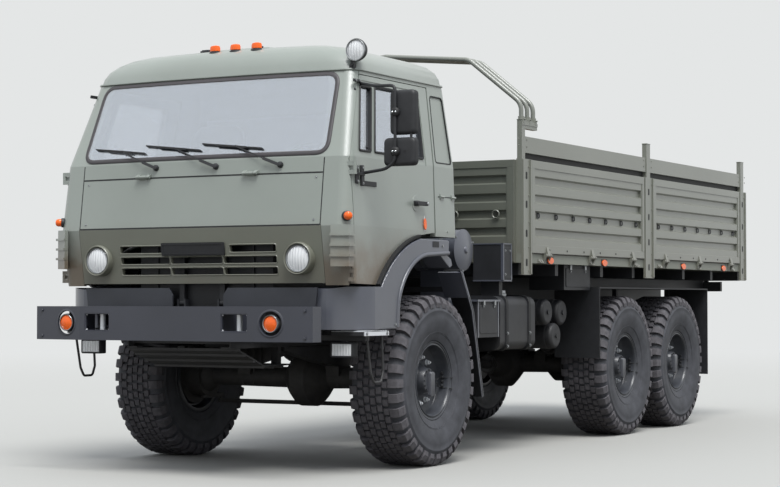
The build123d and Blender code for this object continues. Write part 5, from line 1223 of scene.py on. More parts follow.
class TRUCK_OT_bumper(bpy.types.Operator):
    """Build the bumper's window frames and lamps, the tow pins' sleeves and the fog lamps"""

    bl_idname = "truck.bumper"
    bl_label = "Bumper"

    def execute(self, context):
        frames, bolts = empty(2)
        for sign in (1, -1):
            loop = rect(sign * TOW_X - 0.108, 0.985, sign * TOW_X + 0.108, 1.111, 0.014)
            add_bead(frames, loop, on_bumper, ((-0.001, -0.030), (-0.008, -0.024), (-0.009, -0.006),
                                               (-0.005, -0.001), (0.002, -0.002)))
            add_bead(frames, ellipse(sign * BUMPER_LAMP[0], BUMPER_LAMP[2], 0.082, 0.082, 40), on_bumper,
                     ((-0.003, -0.008), (0.000, 0.004), (0.006, 0.005), (0.013, 0.0)))
        for z in (0.950, 1.130):
            add_bolt(bolts, on_bumper(1.09, z), (0, -1, 0), 0.010, 0.009)
        make_piece("bumper_frames", frames, "bumper", "chassis", smooth=50)
        make_piece("bumper_bolts", bolts, "bumper", "chassis", smooth=30, both=True)

        # Sleeves on the tow pins, in the near-white zinc whose colour paints their glint in the window's shade
        pins = bmesh.new()
        for sign in (1, -1):
            add_rod(pins, (sign * TOW_X, TOW_Y, 0.984), (sign * TOW_X, TOW_Y, 1.112), 0.0205, 24)
            for x in (-0.098, 0.098):
                for z in (0.996, 1.100):
                    add_bolt(pins, on_bumper(sign * TOW_X + x, z, -0.016), (0, -1, 0), 0.0055, 0.006)
        make_piece("tow_pin_sleeves", pins, "bright", "chassis")

        meshes = empty(4)
        for sign in (1, -1):
            lamp_parts(*meshes, (sign * BUMPER_LAMP[0], *BUMPER_LAMP[1:]), 0.060, 0.012)
        finish_lamps("bumper_lamp", meshes, "chassis", (), ("zinc", "bright", "amber", "bright"))

        # Rectangular fog lamps under the steps: shell with two screws, reflector and lens
        shells, lenses, reflectors = empty(3)
        for sign in (1, -1):
            x, z = sign * FOG_LAMP[0], FOG_LAMP[2]
            loop = rect(x - 0.086, z - 0.050, x + 0.086, z + 0.050, 0.012)
            add_bead(shells, loop, on_fog_lamp, ((-0.010, -0.004), (-0.010, 0.006), (-0.002, 0.008),
                                                 (0.003, 0.003), (0.003, -0.060)))
            add_prism(reflectors, rect(x - 0.078, z - 0.042, x + 0.078, z + 0.042, 0.008), "y", -1.0985,
                      -1.0945)
            add_prism(lenses, rect(x - 0.074, z - 0.038, x + 0.074, z + 0.038, 0.010), "y", -1.102, -1.099)
            for dx in (-0.070, 0.070):
                add_bolt(shells, (x + dx, -1.103, z + 0.045), (0, -1, 0), 0.004, 0.004)
        make_piece("fog_lamp_shells", shells, "abs", "chassis", smooth=50)
        make_piece("fog_lamp_reflectors", reflectors, "bright", "chassis", smooth=50)
        make_piece("fog_lamp_lenses", lenses, "lens", "chassis", smooth=50)
        return {"FINISHED"}


def board_hook(bm, y):
    """Add a tie hook that stands in the third channel of a side board."""
    add_pad(bm, rect(y - 0.016, 1.856, y + 0.016, 1.900, 0.004), on_body, -0.022, -0.018)
    add_pipe(bm, [on_body(y, 1.896, -0.019), on_body(y, 1.896, -0.005), on_body(y, 1.868, -0.003),
                  on_body(y, 1.858, -0.012)], 0.0045, 8)


class TRUCK_OT_bed_sides(bpy.types.Operator):
    """Build the side boards' frames, tie hooks and latches"""

    bl_idname = "truck.bed_sides"
    bl_label = "Side boards"

    # Places of the latches under each board
    LATCHES = {"front": (1.750, 2.799, 3.834), "rear": (4.410, 5.467, 6.483)}
    # Tie hooks on each board, and how far the outer ones stand from its ends
    HOOKS = 7
    HOOK_INSET = 0.16

    def execute(self, context):
        for side, sign in SIDES:
            for end, y0, y1 in SIDE_BOARDS:
                frames, hooks = empty(2)
                for z0, z1 in BOARD_RAILS:
                    add_pad(frames, rect(y0 + 0.002, z0, y1 - 0.002, z1, 0.002), on_body, -0.002, 0.006)
                for y in (y0 + 0.002, y1 - 0.052):
                    add_pad(frames, rect(y, 1.640, y + 0.050, 2.252), on_body, -0.002, 0.006)
                pitch = (y1 - y0 - 2 * self.HOOK_INSET) / (self.HOOKS - 1)
                for k in range(self.HOOKS):
                    board_hook(hooks, y0 + self.HOOK_INSET + pitch * k)
                # A bolt below each gap between two hooks
                for k in range(self.HOOKS - 1):
                    y = y0 + self.HOOK_INSET + pitch * (k + 0.5)
                    add_bolt(hooks, on_body(y, 1.604, 0.006), (1, 0, 0), 0.006, 0.004)
                if sign < 0:
                    flipped(frames)
                    flipped(hooks)
                body = f"side_board_{side}_{end}"
                make_piece(f"board_frame_{side}_{end}", frames, "bed enamel", body, 0.002)
                make_piece(f"board_hooks_{side}_{end}", hooks, "chassis", body, smooth=40)

        latches, amber, base = empty(3)
        for end, _, _ in SIDE_BOARDS:
            for y in self.LATCHES[end]:
                add_box(latches, (1.239, y - 0.040, 1.500), (1.246, y + 0.040, 1.530))
                add_pipe(latches, [(1.247, y - 0.028, 1.515), (1.262, y - 0.028, 1.500),
                                   (1.262, y + 0.028, 1.500), (1.247, y + 0.028, 1.515)], 0.0045, 8)
        for y in (1.946, 3.087, 5.048, 6.205):
            add_prism(amber, ellipse(y, 1.520, 0.056, 0.028), "x", 1.242, 1.252)
            add_prism(base, rect(y - 0.066, 1.488, y + 0.066, 1.552, 0.006), "x", 1.239, 1.243)
        make_piece("sill_latches", latches, "bed enamel", "chassis", smooth=40, both=True)
        make_piece("sill_reflectors", amber, "amber", "chassis", 0.002, both=True)
        make_piece("reflector_plates", base, "abs", "chassis", 0.001, both=True)
        return {"FINISHED"}


class TRUCK_OT_bed_posts(bpy.types.Operator):
    """Build the posts' folds, bolts and bow clamps, with black plates that paint the shade in the posts' slots
    and under the upper boards
    """

    bl_idname = "truck.bed_posts"
    bl_label = "Posts and clamps"

    def execute(self, context):
        folds, slots, bolts, clamps = empty(4)
        for y0, y1 in POSTS:
            for y in (y0 + 0.004, y1 - 0.026):
                add_box(folds, (1.248, y, 1.405), (1.262, y + 0.022, 2.318))
            # Black plates on the posts' slots paint the shade inside them
            for z in (1.470, 1.700, 1.930, 2.160):
                middle = (y0 + y1) / 2
                add_prism(slots, rect(middle - 0.014, z, middle + 0.014, z + 0.058, 0.012), "x", 1.2485, 1.2515)
            for z in (1.430, 1.620, 1.820, 2.030, 2.260):
                for y in (y0 + 0.042, y1 - 0.042):
                    add_bolt(bolts, (BODY_HALF, y, z), (1, 0, 0), 0.007, 0.005)
        for y0, y1 in STAKES:
            # Caps and the upper boards' bolts
            add_box(folds, (1.202, y0 - 0.003, 2.626), (1.250, y1 + 0.003, 2.633))
            for y in (y0 - 0.05, y1 + 0.05):
                for z in (2.420, 2.475):
                    add_bolt(bolts, (1.240, y, z), (1, 0, 0), 0.006, 0.004)
        # A black strip under the upper boards paints the shadow line between them and the side boards
        for (_, y0), (y1, _) in zip(STAKES, STAKES[1:]):
            add_box(slots, (1.205, y0 + 0.002, 2.322), (1.209, y1 - 0.002, 2.374))
        for y in (1.428, 1.538, 1.648):
            add_spun(clamps, ((0, 0.020), (0, 0.026), (0.050, 0.026), (0.050, 0.020)), at(1.228, y, 2.606),
                     (0, 0, 1), 20, True)
            add_rod(clamps, (1.250, y, 2.632), (1.268, y, 2.632), 0.006, 8)
        add_box(clamps, (1.247, 1.400, 2.588), (1.251, 1.690, 2.612))
        make_piece("post_folds", folds, "bed enamel", "chassis", 0.002, both=True)
        make_piece("post_slots", slots, "seal", "chassis", both=True)
        make_piece("post_bolts", bolts, "bed enamel", "chassis", smooth=30, both=True)
        make_piece("bow_clamps", clamps, "bed enamel", "chassis", smooth=40, both=True)
        return {"FINISHED"}


class TRUCK_OT_bed_inside(bpy.types.Operator):
    """Build the plank floor, the front wall's frame and rings, and the tailgate's fittings"""

    bl_idname = "truck.bed_inside"
    bl_label = "Bed floor and ends"

    FLOOR_HALF = 1.185
    PLANKS = 12

    def execute(self, context):
        planks, screws = empty(2)
        pitch = 2 * self.FLOOR_HALF / self.PLANKS
        for k in range(self.PLANKS):
            x = -self.FLOOR_HALF + k * pitch
            add_box(planks, (x + 0.002, 1.402, 1.5715), (x + pitch - 0.002, 6.880, 1.5762))
            for y in (1.47, 2.18, 3.14, 3.88, 4.38, 5.18, 5.98, 6.81):
                add_dome(screws, (x + pitch / 2, y, 1.576), (0, 0, 1), 0.008, 0.002, 10, 2)
        make_piece("floor_planks", planks, "plywood", "chassis", 0.001)
        make_piece("floor_screws", screws, "zinc", "chassis", smooth=50)

        rings, frames = empty(2)
        for x in (-1.045, -0.68, 0.68, 1.045):
            add_spun(rings, ellipse(0, 0.030, 0.009, 0.006, 8), at(x, 1.340, 1.880), (0, -1, 0), 24, True)
            add_box(rings, (x - 0.020, 1.348, 1.890), (x + 0.020, 1.356, 1.932))
        for z0, z1 in ((1.500, 1.580), (2.250, 2.308)):
            add_box(frames, (-1.199, 1.347, z0), (1.199, 1.354, z1))
        for x in (-1.199, 1.139):
            add_box(frames, (x, 1.347, 1.580), (x + 0.060, 1.354, 2.250))
        make_piece("wall_rings", rings, "wall enamel", "chassis", smooth=50)
        make_piece("wall_frame", frames, "wall enamel", "chassis", 0.002)

        gate, latches = empty(2)
        for z0, z1 in BOARD_RAILS:
            add_box(gate, (-1.238, 6.943, z0), (1.238, 6.951, z1))
        for x in (-1.238, -0.030, 1.178):
            add_box(gate, (x, 6.943, 1.640), (x + 0.060, 6.951, 2.252))
        for x in (-1.10, -0.55, 0.55, 1.10):
            for z in (2.266, 1.606):
                add_bolt(latches, (x, 6.951, z), (0, 1, 0), 0.008, 0.006)
        for sign in (1, -1):
            x = sign * 1.165
            add_box(latches, (x - 0.035, 6.948, 2.120), (x + 0.035, 6.954, 2.230))
            add_rod(latches, (x - 0.026, 6.962, 2.205), (x + 0.026, 6.962, 2.205), 0.008)
            add_pipe(latches, [(x, 6.960, 2.205), (x, 6.9645, 2.160), (x, 6.960, 2.110)], 0.006, 8)
        make_piece("tailgate_frame", gate, "bed enamel", "tailgate", 0.002)
        make_piece("tailgate_fittings", latches, "zinc", "tailgate")
        return {"FINISHED"}


class TRUCK_OT_tank_fittings(bpy.types.Operator):
    """Build the tank straps and cap, the drum's cover, and the boxes' lids, angles and locks"""

    bl_idname = "truck.tank_fittings"
    bl_label = "Tanks and boxes"

    def execute(self, context):
        straps, bolts, cap = empty(3)
        for y in (1.185, 1.600):
            for sign in (1, -1):
                outer = rect(0.551, 0.801, 1.2085, 1.239, 0.078, 6)
                ring = [[straps.verts.new(at(sign * u, v_y, v)) for u, v in outer]
                        for v_y in (y + 0.006, y + 0.044)]
                inner = [[straps.verts.new(at(sign * (0.880 + (u - 0.880) * 0.99), v_y,
                                              1.020 + (v - 1.020) * 0.985)) for u, v in outer]
                         for v_y in (y + 0.006, y + 0.044)]
                join_rings(straps, [inner[0], *ring, inner[1]])
                for dz in (-0.05, 0.05):
                    add_bolt(bolts, (sign * 1.208, y + 0.025, 0.890 + dz), (sign, 0, 0), 0.010, 0.010)
        for sign in (1, -1):
            add_spun(cap, ((0, 0.052), (0.022, 0.052), (0.026, 0.046), (0.030, 0.046), (0.046, 0.044),
                           (0.050, 0.038), (0.050, 0.0005)), at(sign * 1.05, 1.40, 1.229), (0, 0, 1), 32)
            # Drain plug
            add_bolt(cap, (sign * 0.88, 1.42, 0.810), (0, 0, -1), 0.016, 0.016)
        make_piece("tank_straps", straps, "seal", "chassis", smooth=40)
        make_piece("tank_caps", cap, "zinc", "chassis")

        # Drum cover: a shallow cone with its rim and centre nut
        cover = bmesh.new()
        add_spun(cover, ((-0.006, 0.158), (0.004, 0.158), (0.006, 0.150), (0.010, 0.140), (0.022, 0.050),
                         (0.024, 0.030), (0.030, 0.026), (0.036, 0.018), (0.037, 0.0005)),
                 at(*DRUM), (1, 0, 0), 56)
        for k in range(3):
            a = 2 * math.pi * k / 3 + 0.4
            y, z = DRUM[1] + 0.160 * math.cos(a), DRUM[2] + 0.160 * math.sin(a)
            add_rod(bolts, (1.060, y, z), (1.112, y, z), 0.006, 8)
        for reach in (0.80, 0.97):
            add_spun(bolts, ((0, 0.1552), (0, 0.1585), (0.022, 0.1585), (0.022, 0.1552)),
                     at(reach, DRUM[1], DRUM[2]), (1, 0, 0), 56, True)
        make_piece("drum_cover", cover, "moulding", "chassis", smooth=25)

        angles = bmesh.new()
        for y in (1.146, 1.288):
            add_box(angles, (1.182, y, 1.350), (1.204, y + 0.016, 1.640))
        for z in (1.346, 1.634):
            add_box(angles, (0.936, 1.146, z), (1.204, 1.304, z + 0.010))
        # Battery box: lid edge, panel and clips
        add_box(angles, (0.628, 0.688, 1.188), (1.207, 0.694, 1.203))
        add_box(angles, (1.201, 0.688, 1.188), (1.207, 1.087, 1.203))
        for y in (0.712, 1.060):
            add_box(angles, (1.193, y, 0.915), (1.199, y + 0.016, 1.188))
        make_piece("box_angles", angles, "moulding", "chassis", 0.001)
        panels = build((add_prism, rect(1.166, 1.372, 1.280, 1.612, 0.01), "x", 1.199, 1.2035),
                       (add_prism, rect(0.745, 0.945, 1.045, 1.165, 0.02), "x", 1.194, 1.1985),
                       (add_prism, rect(2.470, 1.310, 2.955, 1.470, 0.015), "x", 1.149, 1.1555))
        make_piece("box_panels", panels, "chassis", "chassis", context.scene.truck_sizes.edge_radius)
        for spot in ((1.204, 1.18, 1.585), (1.204, 1.265, 1.585), (1.204, 1.18, 1.40), (1.199, 0.80, 1.150),
                     (1.199, 0.99, 1.150), (1.156, 2.56, 1.44), (1.156, 2.87, 1.44)):
            add_bolt(bolts, spot, (1, 0, 0), 0.008, 0.007)
        for y in (0.80, 0.99):
            add_box(bolts, (1.196, y - 0.014, 1.160), (1.211, y + 0.014, 1.196))
        for y in (2.56, 2.87):
            add_box(bolts, (1.149, y - 0.018, 1.455), (1.162, y + 0.018, 1.500))
        make_piece("tank_and_box_bolts", bolts, "zinc", "chassis")

        # Ends of the air tanks: seam rings and drain plugs
        rings = bmesh.new()
        for y, z in ((2.260, 1.100), (2.560, 1.095), (2.430, 0.900)):
            for x in (0.60, 0.985):
                add_spun(rings, ((0, 0.107), (0.002, 0.111), (0.030, 0.111), (0.032, 0.107)), at(x, y, z),
                         (1, 0, 0), 40, True)
            add_spun(rings, ((0, 0.0005), (0, 0.020), (0.012, 0.020), (0.012, 0.0005)), at(1.079, y, z),
                     (1, 0, 0), 16)
        make_piece("air_tank_rings", rings, "chassis", "chassis")
        return {"FINISHED"}


class TRUCK_OT_underbody(bpy.types.Operator):
    """Build the brake chambers, hoses, dampers, spring clamps, exhaust and mudguard webs"""

    bl_idname = "truck.underbody"
    bl_label = "Underbody"

    def execute(self, context):
        iron, black, rubber = empty(3)
        chamber = ((0, 0.0005), (0, 0.050), (0.020, 0.072), (0.050, 0.078), (0.056, 0.088), (0.068, 0.088),
                   (0.074, 0.078), (0.120, 0.070), (0.140, 0.040), (0.140, 0.0005))
        for sign in (1, -1):
            # Each bogie axle's chambers stand on its side away from the other axle
            for place, back in (("middle", -0.27), ("rear", 0.27)):
                y, z = AXLE_Y[place], AXLE_Z
                add_spun(black, chamber, at(sign * 0.60, y + back, z + 0.17), (0, math.copysign(1, back), 0.2),
                         28)
                add_rod(iron, (sign * 0.60, y + back, z + 0.17), (sign * 0.60, y + back * 0.3, z + 0.10), 0.014)
                add_pipe(rubber, [(sign * 0.60, y + back * 1.45, z + 0.20),
                                  (sign * 0.56, y + back * 1.5, z + 0.36),
                                  (sign * 0.44, y + back * 1.3, z + 0.44)], 0.009, 8)
            # Front dampers beside the springs
            add_spun(black, ((0, 0.0005), (0, 0.033), (0.20, 0.033), (0.20, 0.040), (0.42, 0.040),
                             (0.42, 0.0005)), at(sign * 0.520, 0.100, 0.680),
                     Vector((0, 0.30, 0.95)).normalized(), 24)
            add_rod(iron, (sign * 0.455, 0.232, 1.080), (sign * 0.560, 0.232, 1.080), 0.016)
            add_pipe(rubber, [(sign * 0.62, 0.06, 0.80), (sign * 0.60, 0.14, 0.96), (sign * 0.45, 0.18, 1.02)],
                     0.009, 8)
            # Bolts that clamp the front axle to its springs
            for x in (0.320, 0.420):
                for y in (-0.060, 0.060):
                    add_rod(iron, (sign * x, y, 0.560), (sign * x, y, 0.860), 0.009, 8)
        # Exhaust: down pipe, silencer and tail pipe on the right
        add_pipe(black, [(-0.36, 0.30, 1.05), (-0.50, 0.55, 1.00), (-0.56, 0.80, 0.76), (-0.56, 1.02, 0.72)],
                 0.045, 16)
        add_spun(black, ((0, 0.0005), (0, 0.090), (0.02, 0.110), (0.56, 0.110), (0.58, 0.090), (0.58, 0.0005)),
                 at(-0.40, 1.90, 0.740), (0, 1, 0), 32)
        add_pipe(black, [(-0.40, 2.47, 0.74), (-0.40, 2.70, 0.74), (-0.62, 2.84, 0.84), (-0.86, 2.90, 0.84)],
                 0.042, 16)
        # Webs that carry the bogie's mudguards under the bearers
        webs = build((add_box, (0.812, 3.110, 1.310), (0.818, 6.840, 1.402)),
                     *((add_box, (0.790, y, 1.310), (0.812, y + 0.006, 1.402))
                       for y in (3.110, 3.850, 4.350, 5.150, 5.950, 6.834)))
        make_piece("guard_webs", webs, "chassis", "chassis", 0.001, both=True)
        make_piece("underbody_iron", iron, "iron", "chassis", smooth=40)
        make_piece("chambers_and_exhaust", black, "chassis", "chassis", smooth=40)
        make_piece("brake_hoses", rubber, "seal", "chassis", smooth=50)
        return {"FINISHED"}


class TRUCK_OT_rear(bpy.types.Operator):
    """Build the tail lamps, the bare rear plate, the mud flaps' bolts and the tow hook's bolts"""

    bl_idname = "truck.rear"
    bl_label = "Rear"

    def execute(self, context):
        red, amber, clear, bolts, frames = empty(5)
        for sign in (1, -1):
            x = sign * 0.85
            for bm, a, b in ((red, -0.148, -0.052), (clear, -0.048, 0.048), (amber, 0.052, 0.148)):
                lo, hi = sorted((x + sign * a, x + sign * b))
                add_prism(bm, rect(lo, 1.300, hi, 1.380, 0.008), "y", 6.834, 6.846)
            add_prism(frames, rect(x - 0.158, 1.291, x + 0.158, 1.389, 0.008), "y", 6.833, 6.838)
            for k in (-1, 1):
                add_bolt(bolts, (x + k * 0.14, 6.846, 1.305), (0, 1, 0), 0.004, 0.003)
            for flap_x in (0.90, 1.08):
                add_bolt(bolts, (sign * flap_x, 5.752, 1.28), (0, 1, 0), 0.009, 0.007)
        place = build((add_prism, rect(-0.262, 1.300, 0.262, 1.418, 0.006), "y", 6.846, 6.850))
        make_piece("rear_plate_place", place, "abs", "chassis", 0.001)
        for x in (-0.085, 0.085):
            for z in (0.925, 1.055):
                add_bolt(bolts, (x, 6.620, z), (0, 1, 0), 0.013, 0.012)
        make_piece("tail_lamp_red", red, "red", "chassis", 0.002)
        make_piece("tail_lamp_amber", amber, "amber", "chassis", 0.002)
        make_piece("tail_lamp_clear", clear, "lens", "chassis", 0.002)
        make_piece("tail_lamp_frames", frames, "abs", "chassis", 0.001)
        make_piece("rear_bolts", bolts, "zinc", "chassis", smooth=30)
        return {"FINISHED"}


def add_cushion(bm, centre, half, tilt=0.0, seams=(), steps=14, power=5.0):
    """Add a stuffed pad: a crowned block with soft corners, pulled in along its sewn seams."""
    made = []
    for axis in range(3):
        for sign in (-1, 1):
            rows = []
            for i in range(steps + 1):
                row = []
                for j in range(steps + 1):
                    spot = [0.0, 0.0, 0.0]
                    spot[axis] = sign
                    spot[(axis + 1) % 3] = 2 * i / steps - 1
                    spot[(axis + 2) % 3] = 2 * j / steps - 1
                    scale = sum(abs(c) ** power for c in spot) ** (-1 / power)
                    row.append(bm.verts.new(Vector(spot) * scale))
                rows.append(row)
            made += [vert for row in rows for vert in row]
            join_rings(bm, rows, across=False)
    turn = Matrix.Rotation(tilt, 3, "X")
    middle = at(*centre)
    thin = half.index(min(half))
    for vert in made:
        spot = vert.co.copy()
        pull = sum(math.exp(-((spot.x - seam) / 0.035) ** 2) for seam in seams)
        spot[thin] *= 1 - 0.16 * pull
        vert.co = middle + turn @ Vector((spot[i] * half[i] for i in range(3)))
    bmesh.ops.remove_doubles(bm, verts=made, dist=0.0002)


class TRUCK_OT_seats(bpy.types.Operator):
    """Build the two seats: cloth cushions with sewn seams and piping, on pleated suspension pedestals"""

    bl_idname = "truck.seats"
    bl_label = "Seats"

    SEAT_X = 0.730
    # The backs lean back by this angle
    LEAN = -0.19

    def execute(self, context):
        for side, sign in SIDES:
            x = sign * self.SEAT_X
            base, back, bolsters = empty(3)
            add_cushion(base, (x, -0.312, 1.922), (0.250, 0.247, 0.062), 0.0, (-0.5, 0.5))
            add_cushion(back, (x, 0.030, 2.262), (0.235, 0.046, 0.300), self.LEAN, (-0.5, 0.5))
            for k in (-1, 1):
                add_cushion(bolsters, (x + k * 0.205, -0.330, 1.958), (0.040, 0.215, 0.026), 0.0, (), 8, 3.0)
                add_cushion(bolsters, (x + k * 0.200, -0.004, 2.230), (0.036, 0.030, 0.240), self.LEAN, (), 8,
                            3.0)
            for name, bm in (("seat_base", base), ("seat_back", back), ("seat_bolsters", bolsters)):
                piece = make_piece(f"{name}_{side}", bm, "cloth", "cab", smooth=60,
                                   stands_for=("seats",) if name == "seat_base" else ())
            piping = bmesh.new()
            add_pipe(piping, [(u, v, 1.922) for u, v in rect(x - 0.242, -0.550, x + 0.242, -0.074)], 0.005, 6,
                     True)
            make_piece(f"seat_piping_{side}", piping, "seal", "cab", smooth=50)
            stand = bmesh.new()
            for k in range(6):
                inset = 0.0 if k % 2 else 0.014
                add_box(stand, (x - 0.170 + inset, -0.480 + inset, 1.716 + k * 0.023),
                        (x + 0.170 - inset, -0.120 - inset, 1.739 + k * 0.023))
            add_box(stand, (x - 0.175, -0.485, 1.701), (x + 0.175, -0.115, 1.716))
            add_box(stand, (x - 0.190, -0.500, 1.854), (x + 0.190, -0.110, 1.868))
            make_piece(f"seat_pedestal_{side}", stand, "abs", "cab", context.scene.truck_sizes.edge_radius)
        return {"FINISHED"}


class TRUCK_OT_interior(bpy.types.Operator):
    """Build the instrument hood and dials, switches, levers and the rear wall's lining"""

    bl_idname = "truck.interior"
    bl_label = "Cab interior"

    def execute(self, context):
        hood, dials, levers, lining = empty(4)
        add_prism(hood, ((-0.935, 2.070), (-1.080, 2.160), (-1.080, 2.200), (-0.960, 2.215), (-0.925, 2.190),
                         (-0.915, 2.090)), "x", 0.52, 0.94)
        for x in (0.60, 0.73, 0.86):
            add_spun(dials, ((-0.004, 0.052), (0.003, 0.052), (0.005, 0.047), (0.001, 0.045), (0.001, 0.0005)),
                     at(x, -0.916, 2.130), Vector((0, 1, 0.35)).normalized(), 28)
        for k in range(8):
            add_box(dials, (-0.10 + k * 0.055, -0.922, 1.990), (-0.065 + k * 0.055, -0.912, 2.012))
        for x, y, top in ((0.30, -0.42, 2.10), (0.22, -0.30, 1.98)):
            add_rod(levers, (x, y, 1.851), (x + 0.02, y - 0.05, top), 0.010)
            add_spun(levers, ((0, 0.008), (0.008, 0.022), (0.026, 0.026), (0.042, 0.018), (0.048, 0.0005)),
                     at(x + 0.02, y - 0.05, top), (0, 0, 1), 16)
        # Pale lining over the rear wall, whose light colour paints the daylight inside the cab
        add_box(lining, (-0.96, 0.228, 1.95), (0.96, 0.236, 2.62))
        for x in (-0.62, 0.0, 0.62):
            for z in (2.02, 2.56):
                add_dome(lining, (x, 0.228, z), (0, -1, 0), 0.010, 0.004, 12, 2)
        make_piece("instrument_hood", hood, "abs", "cab", 0.006)
        make_piece("dials_and_switches", dials, "seal", "cab", smooth=40)
        make_piece("gear_levers", levers, "abs", "cab", smooth=40)
        make_piece("rear_lining", lining, "lining", "cab", context.scene.truck_sizes.edge_radius)
        return {"FINISHED"}


def studio_floor(colour, fade_start, fade_end, backdrop):
    """Pale matt floor that fades into the backdrop's tone far from the truck."""
    material, tree, shader = start_material("Studio floor, matt", (*colour, 1.0), 0.9)
    place = put(tree, "ShaderNodeTexCoord")
    reach = put(tree, "ShaderNodeVectorMath", {0: place.outputs["Object"]}, operation="LENGTH")
    fade = put(tree, "ShaderNodeMapRange", {"Value": reach.outputs["Value"], "From Min": fade_start,
                                            "From Max": fade_end}, interpolation_type="SMOOTHSTEP")
    glow = put(tree, "ShaderNodeEmission", {"Color": backdrop, "Strength": 1.0})
    # Seen by the truck the floor is as dark as asphalt, seen by the camera it is pale
    asphalt = put(tree, "ShaderNodeBsdfDiffuse", {"Color": linear("676560")})
    path = put(tree, "ShaderNodeLightPath")
    ground = put(tree, "ShaderNodeMixShader", {"Fac": path.outputs["Is Camera Ray"], 1: asphalt.outputs["BSDF"],
                                               2: shader.outputs["BSDF"]})
    mix = put(tree, "ShaderNodeMixShader", {"Fac": fade.outputs["Result"], 1: ground.outputs["Shader"],
                                            2: glow.outputs["Emission"]})
    tree.links.new(mix.outputs["Shader"], tree.nodes["Material Output"].inputs["Surface"])
    return material


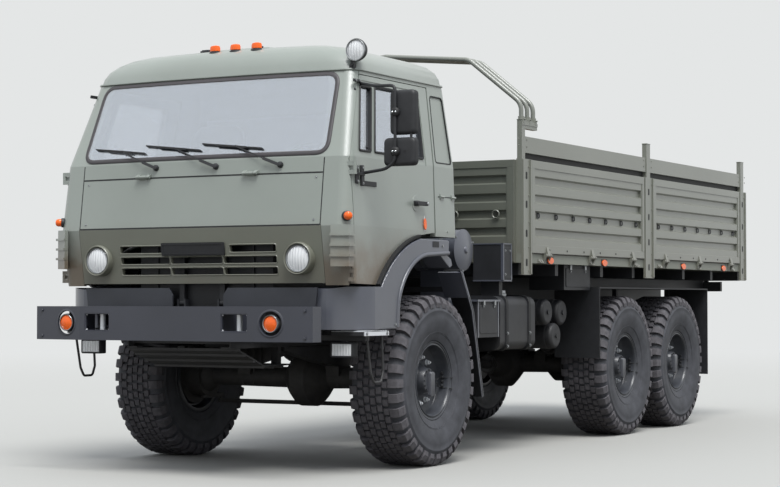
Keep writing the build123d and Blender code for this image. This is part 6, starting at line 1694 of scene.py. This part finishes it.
class TRUCK_OT_stage(bpy.types.Operator):
    """Set up the camera at the photograph's angle, the pale floor and soft light"""

    bl_idname = "truck.stage"
    bl_label = "Stage"

    # Camera place, heading and pitch, and its lens for a 36 mm wide sensor
    CAMERA = (7.589, -12.202, 1.201)
    HEADING = math.radians(28.983)
    PITCH = math.radians(1.703)
    LENS = 87.6
    SENSOR = 36
    BACKDROP = "e4e6e6"
    # The floor is a disc that fades into the backdrop between two distances from the truck
    FLOOR_RADIUS = 90
    FADE = (9.0, 30.0)
    # Overcast sky, brighter overhead than at the horizon, and a soft sun high before the truck's left side
    SKY = "e6edf8"
    HORIZON_STRENGTH = 0.42
    ZENITH_STRENGTH = 1.95
    SUN_STRENGTH = 3.5
    SUN_SPREAD = math.radians(30)
    SUN_PLACE = (0.33, -0.31, 0.89)

    def execute(self, context):
        scene = context.scene
        camera = bpy.data.objects.new("camera", bpy.data.cameras.new("camera"))
        scene.collection.objects.link(camera)
        camera.data.lens = self.LENS
        camera.data.sensor_width = self.SENSOR
        camera.data.sensor_fit = "HORIZONTAL"
        camera.data.clip_end = 200
        forward = Vector((-math.sin(self.HEADING) * math.cos(self.PITCH),
                          math.cos(self.HEADING) * math.cos(self.PITCH), math.sin(self.PITCH)))
        camera.location = at(*self.CAMERA)
        camera.rotation_mode = "QUATERNION"
        camera.rotation_quaternion = forward.to_track_quat("-Z", "Y")
        scene.camera = camera

        backdrop = linear(self.BACKDROP)
        bm = bmesh.new()
        bmesh.ops.create_circle(bm, cap_ends=True, segments=96, radius=self.FLOOR_RADIUS)
        mesh = bpy.data.meshes.new("studio_floor")
        bm.to_mesh(mesh)
        bm.free()
        floor = bpy.data.objects.new("studio_floor", mesh)
        scene.collection.objects.link(floor)
        mesh.materials.append(studio_floor(scene.truck_paint.floor_colour, *self.FADE, backdrop))

        world = bpy.data.worlds.new("studio")
        scene.world = world
        world.use_nodes = True
        tree = world.node_tree
        # The camera, reflections and glass see the plain backdrop in the sky's place
        path = put(tree, "ShaderNodeLightPath")
        seen = put(tree, "ShaderNodeMath", {0: path.outputs["Is Camera Ray"], 1: path.outputs["Is Glossy Ray"]},
                   operation="MAXIMUM")
        seen = put(tree, "ShaderNodeMath", {0: seen.outputs["Value"], 1: path.outputs["Is Transmission Ray"]},
                   operation="MAXIMUM")
        place = put(tree, "ShaderNodeTexCoord")
        split = put(tree, "ShaderNodeSeparateXYZ", {"Vector": place.outputs["Generated"]})
        height = put(tree, "ShaderNodeMapRange", {"Value": split.outputs["Z"], "To Min": self.HORIZON_STRENGTH,
                                                  "To Max": self.ZENITH_STRENGTH})
        ambient = put(tree, "ShaderNodeBackground", {"Color": linear(self.SKY),
                                                     "Strength": height.outputs["Result"]})
        shown = put(tree, "ShaderNodeBackground", {"Color": backdrop, "Strength": 1.0})
        mix = put(tree, "ShaderNodeMixShader", {"Fac": seen.outputs["Value"], 1: ambient.outputs["Background"],
                                                2: shown.outputs["Background"]})
        tree.links.new(mix.outputs["Shader"], tree.nodes["World Output"].inputs["Surface"])

        sun = bpy.data.objects.new("soft_sun", bpy.data.lights.new("soft_sun", "SUN"))
        sun.data.energy = self.SUN_STRENGTH
        sun.data.angle = self.SUN_SPREAD
        sun.rotation_euler = Vector(self.SUN_PLACE).to_track_quat("Z", "Y").to_euler()
        scene.collection.objects.link(sun)
        scene.view_settings.view_transform = "Standard"
        return {"FINISHED"}


PIECES = (TRUCK_OT_cad_finishes, TRUCK_OT_tyres, TRUCK_OT_wheels, TRUCK_OT_glazing, TRUCK_OT_front_lamps,
          TRUCK_OT_front_panels, TRUCK_OT_doors, TRUCK_OT_mirrors, TRUCK_OT_cab_trim, TRUCK_OT_wings,
          TRUCK_OT_bumper, TRUCK_OT_bed_sides, TRUCK_OT_bed_posts, TRUCK_OT_bed_inside, TRUCK_OT_tank_fittings,
          TRUCK_OT_underbody, TRUCK_OT_rear, TRUCK_OT_seats, TRUCK_OT_interior, TRUCK_OT_stage)


class TRUCK_PT_panel(bpy.types.Panel):
    """Lists the truck's pieces"""

    bl_idname = "TRUCK_PT_panel"
    bl_label = "Cargo truck"
    bl_space_type = "VIEW_3D"
    bl_region_type = "UI"
    bl_category = "Truck"

    def draw(self, context):
        for settings in (context.scene.truck_paint, context.scene.truck_sizes):
            for key in settings.__annotations__:
                self.layout.prop(settings, key)
        for operator in PIECES:
            self.layout.operator(operator.bl_idname)


CLASSES = (TruckPaintSettings, TruckSizeSettings, *PIECES, TRUCK_PT_panel)


def register():
    for cls in CLASSES:
        bpy.utils.register_class(cls)
    bpy.types.Scene.truck_paint = bpy.props.PointerProperty(type=TruckPaintSettings)
    bpy.types.Scene.truck_sizes = bpy.props.PointerProperty(type=TruckSizeSettings)


def unregister():
    del bpy.types.Scene.truck_sizes
    del bpy.types.Scene.truck_paint
    for cls in reversed(CLASSES):
        bpy.utils.unregister_class(cls)


def main():
    register()
    MATERIALS.update(make_materials())
    for operator in PIECES:
        getattr(bpy.ops.truck, operator.bl_idname.split(".")[1])()


if __name__ == "__main__":
    main()
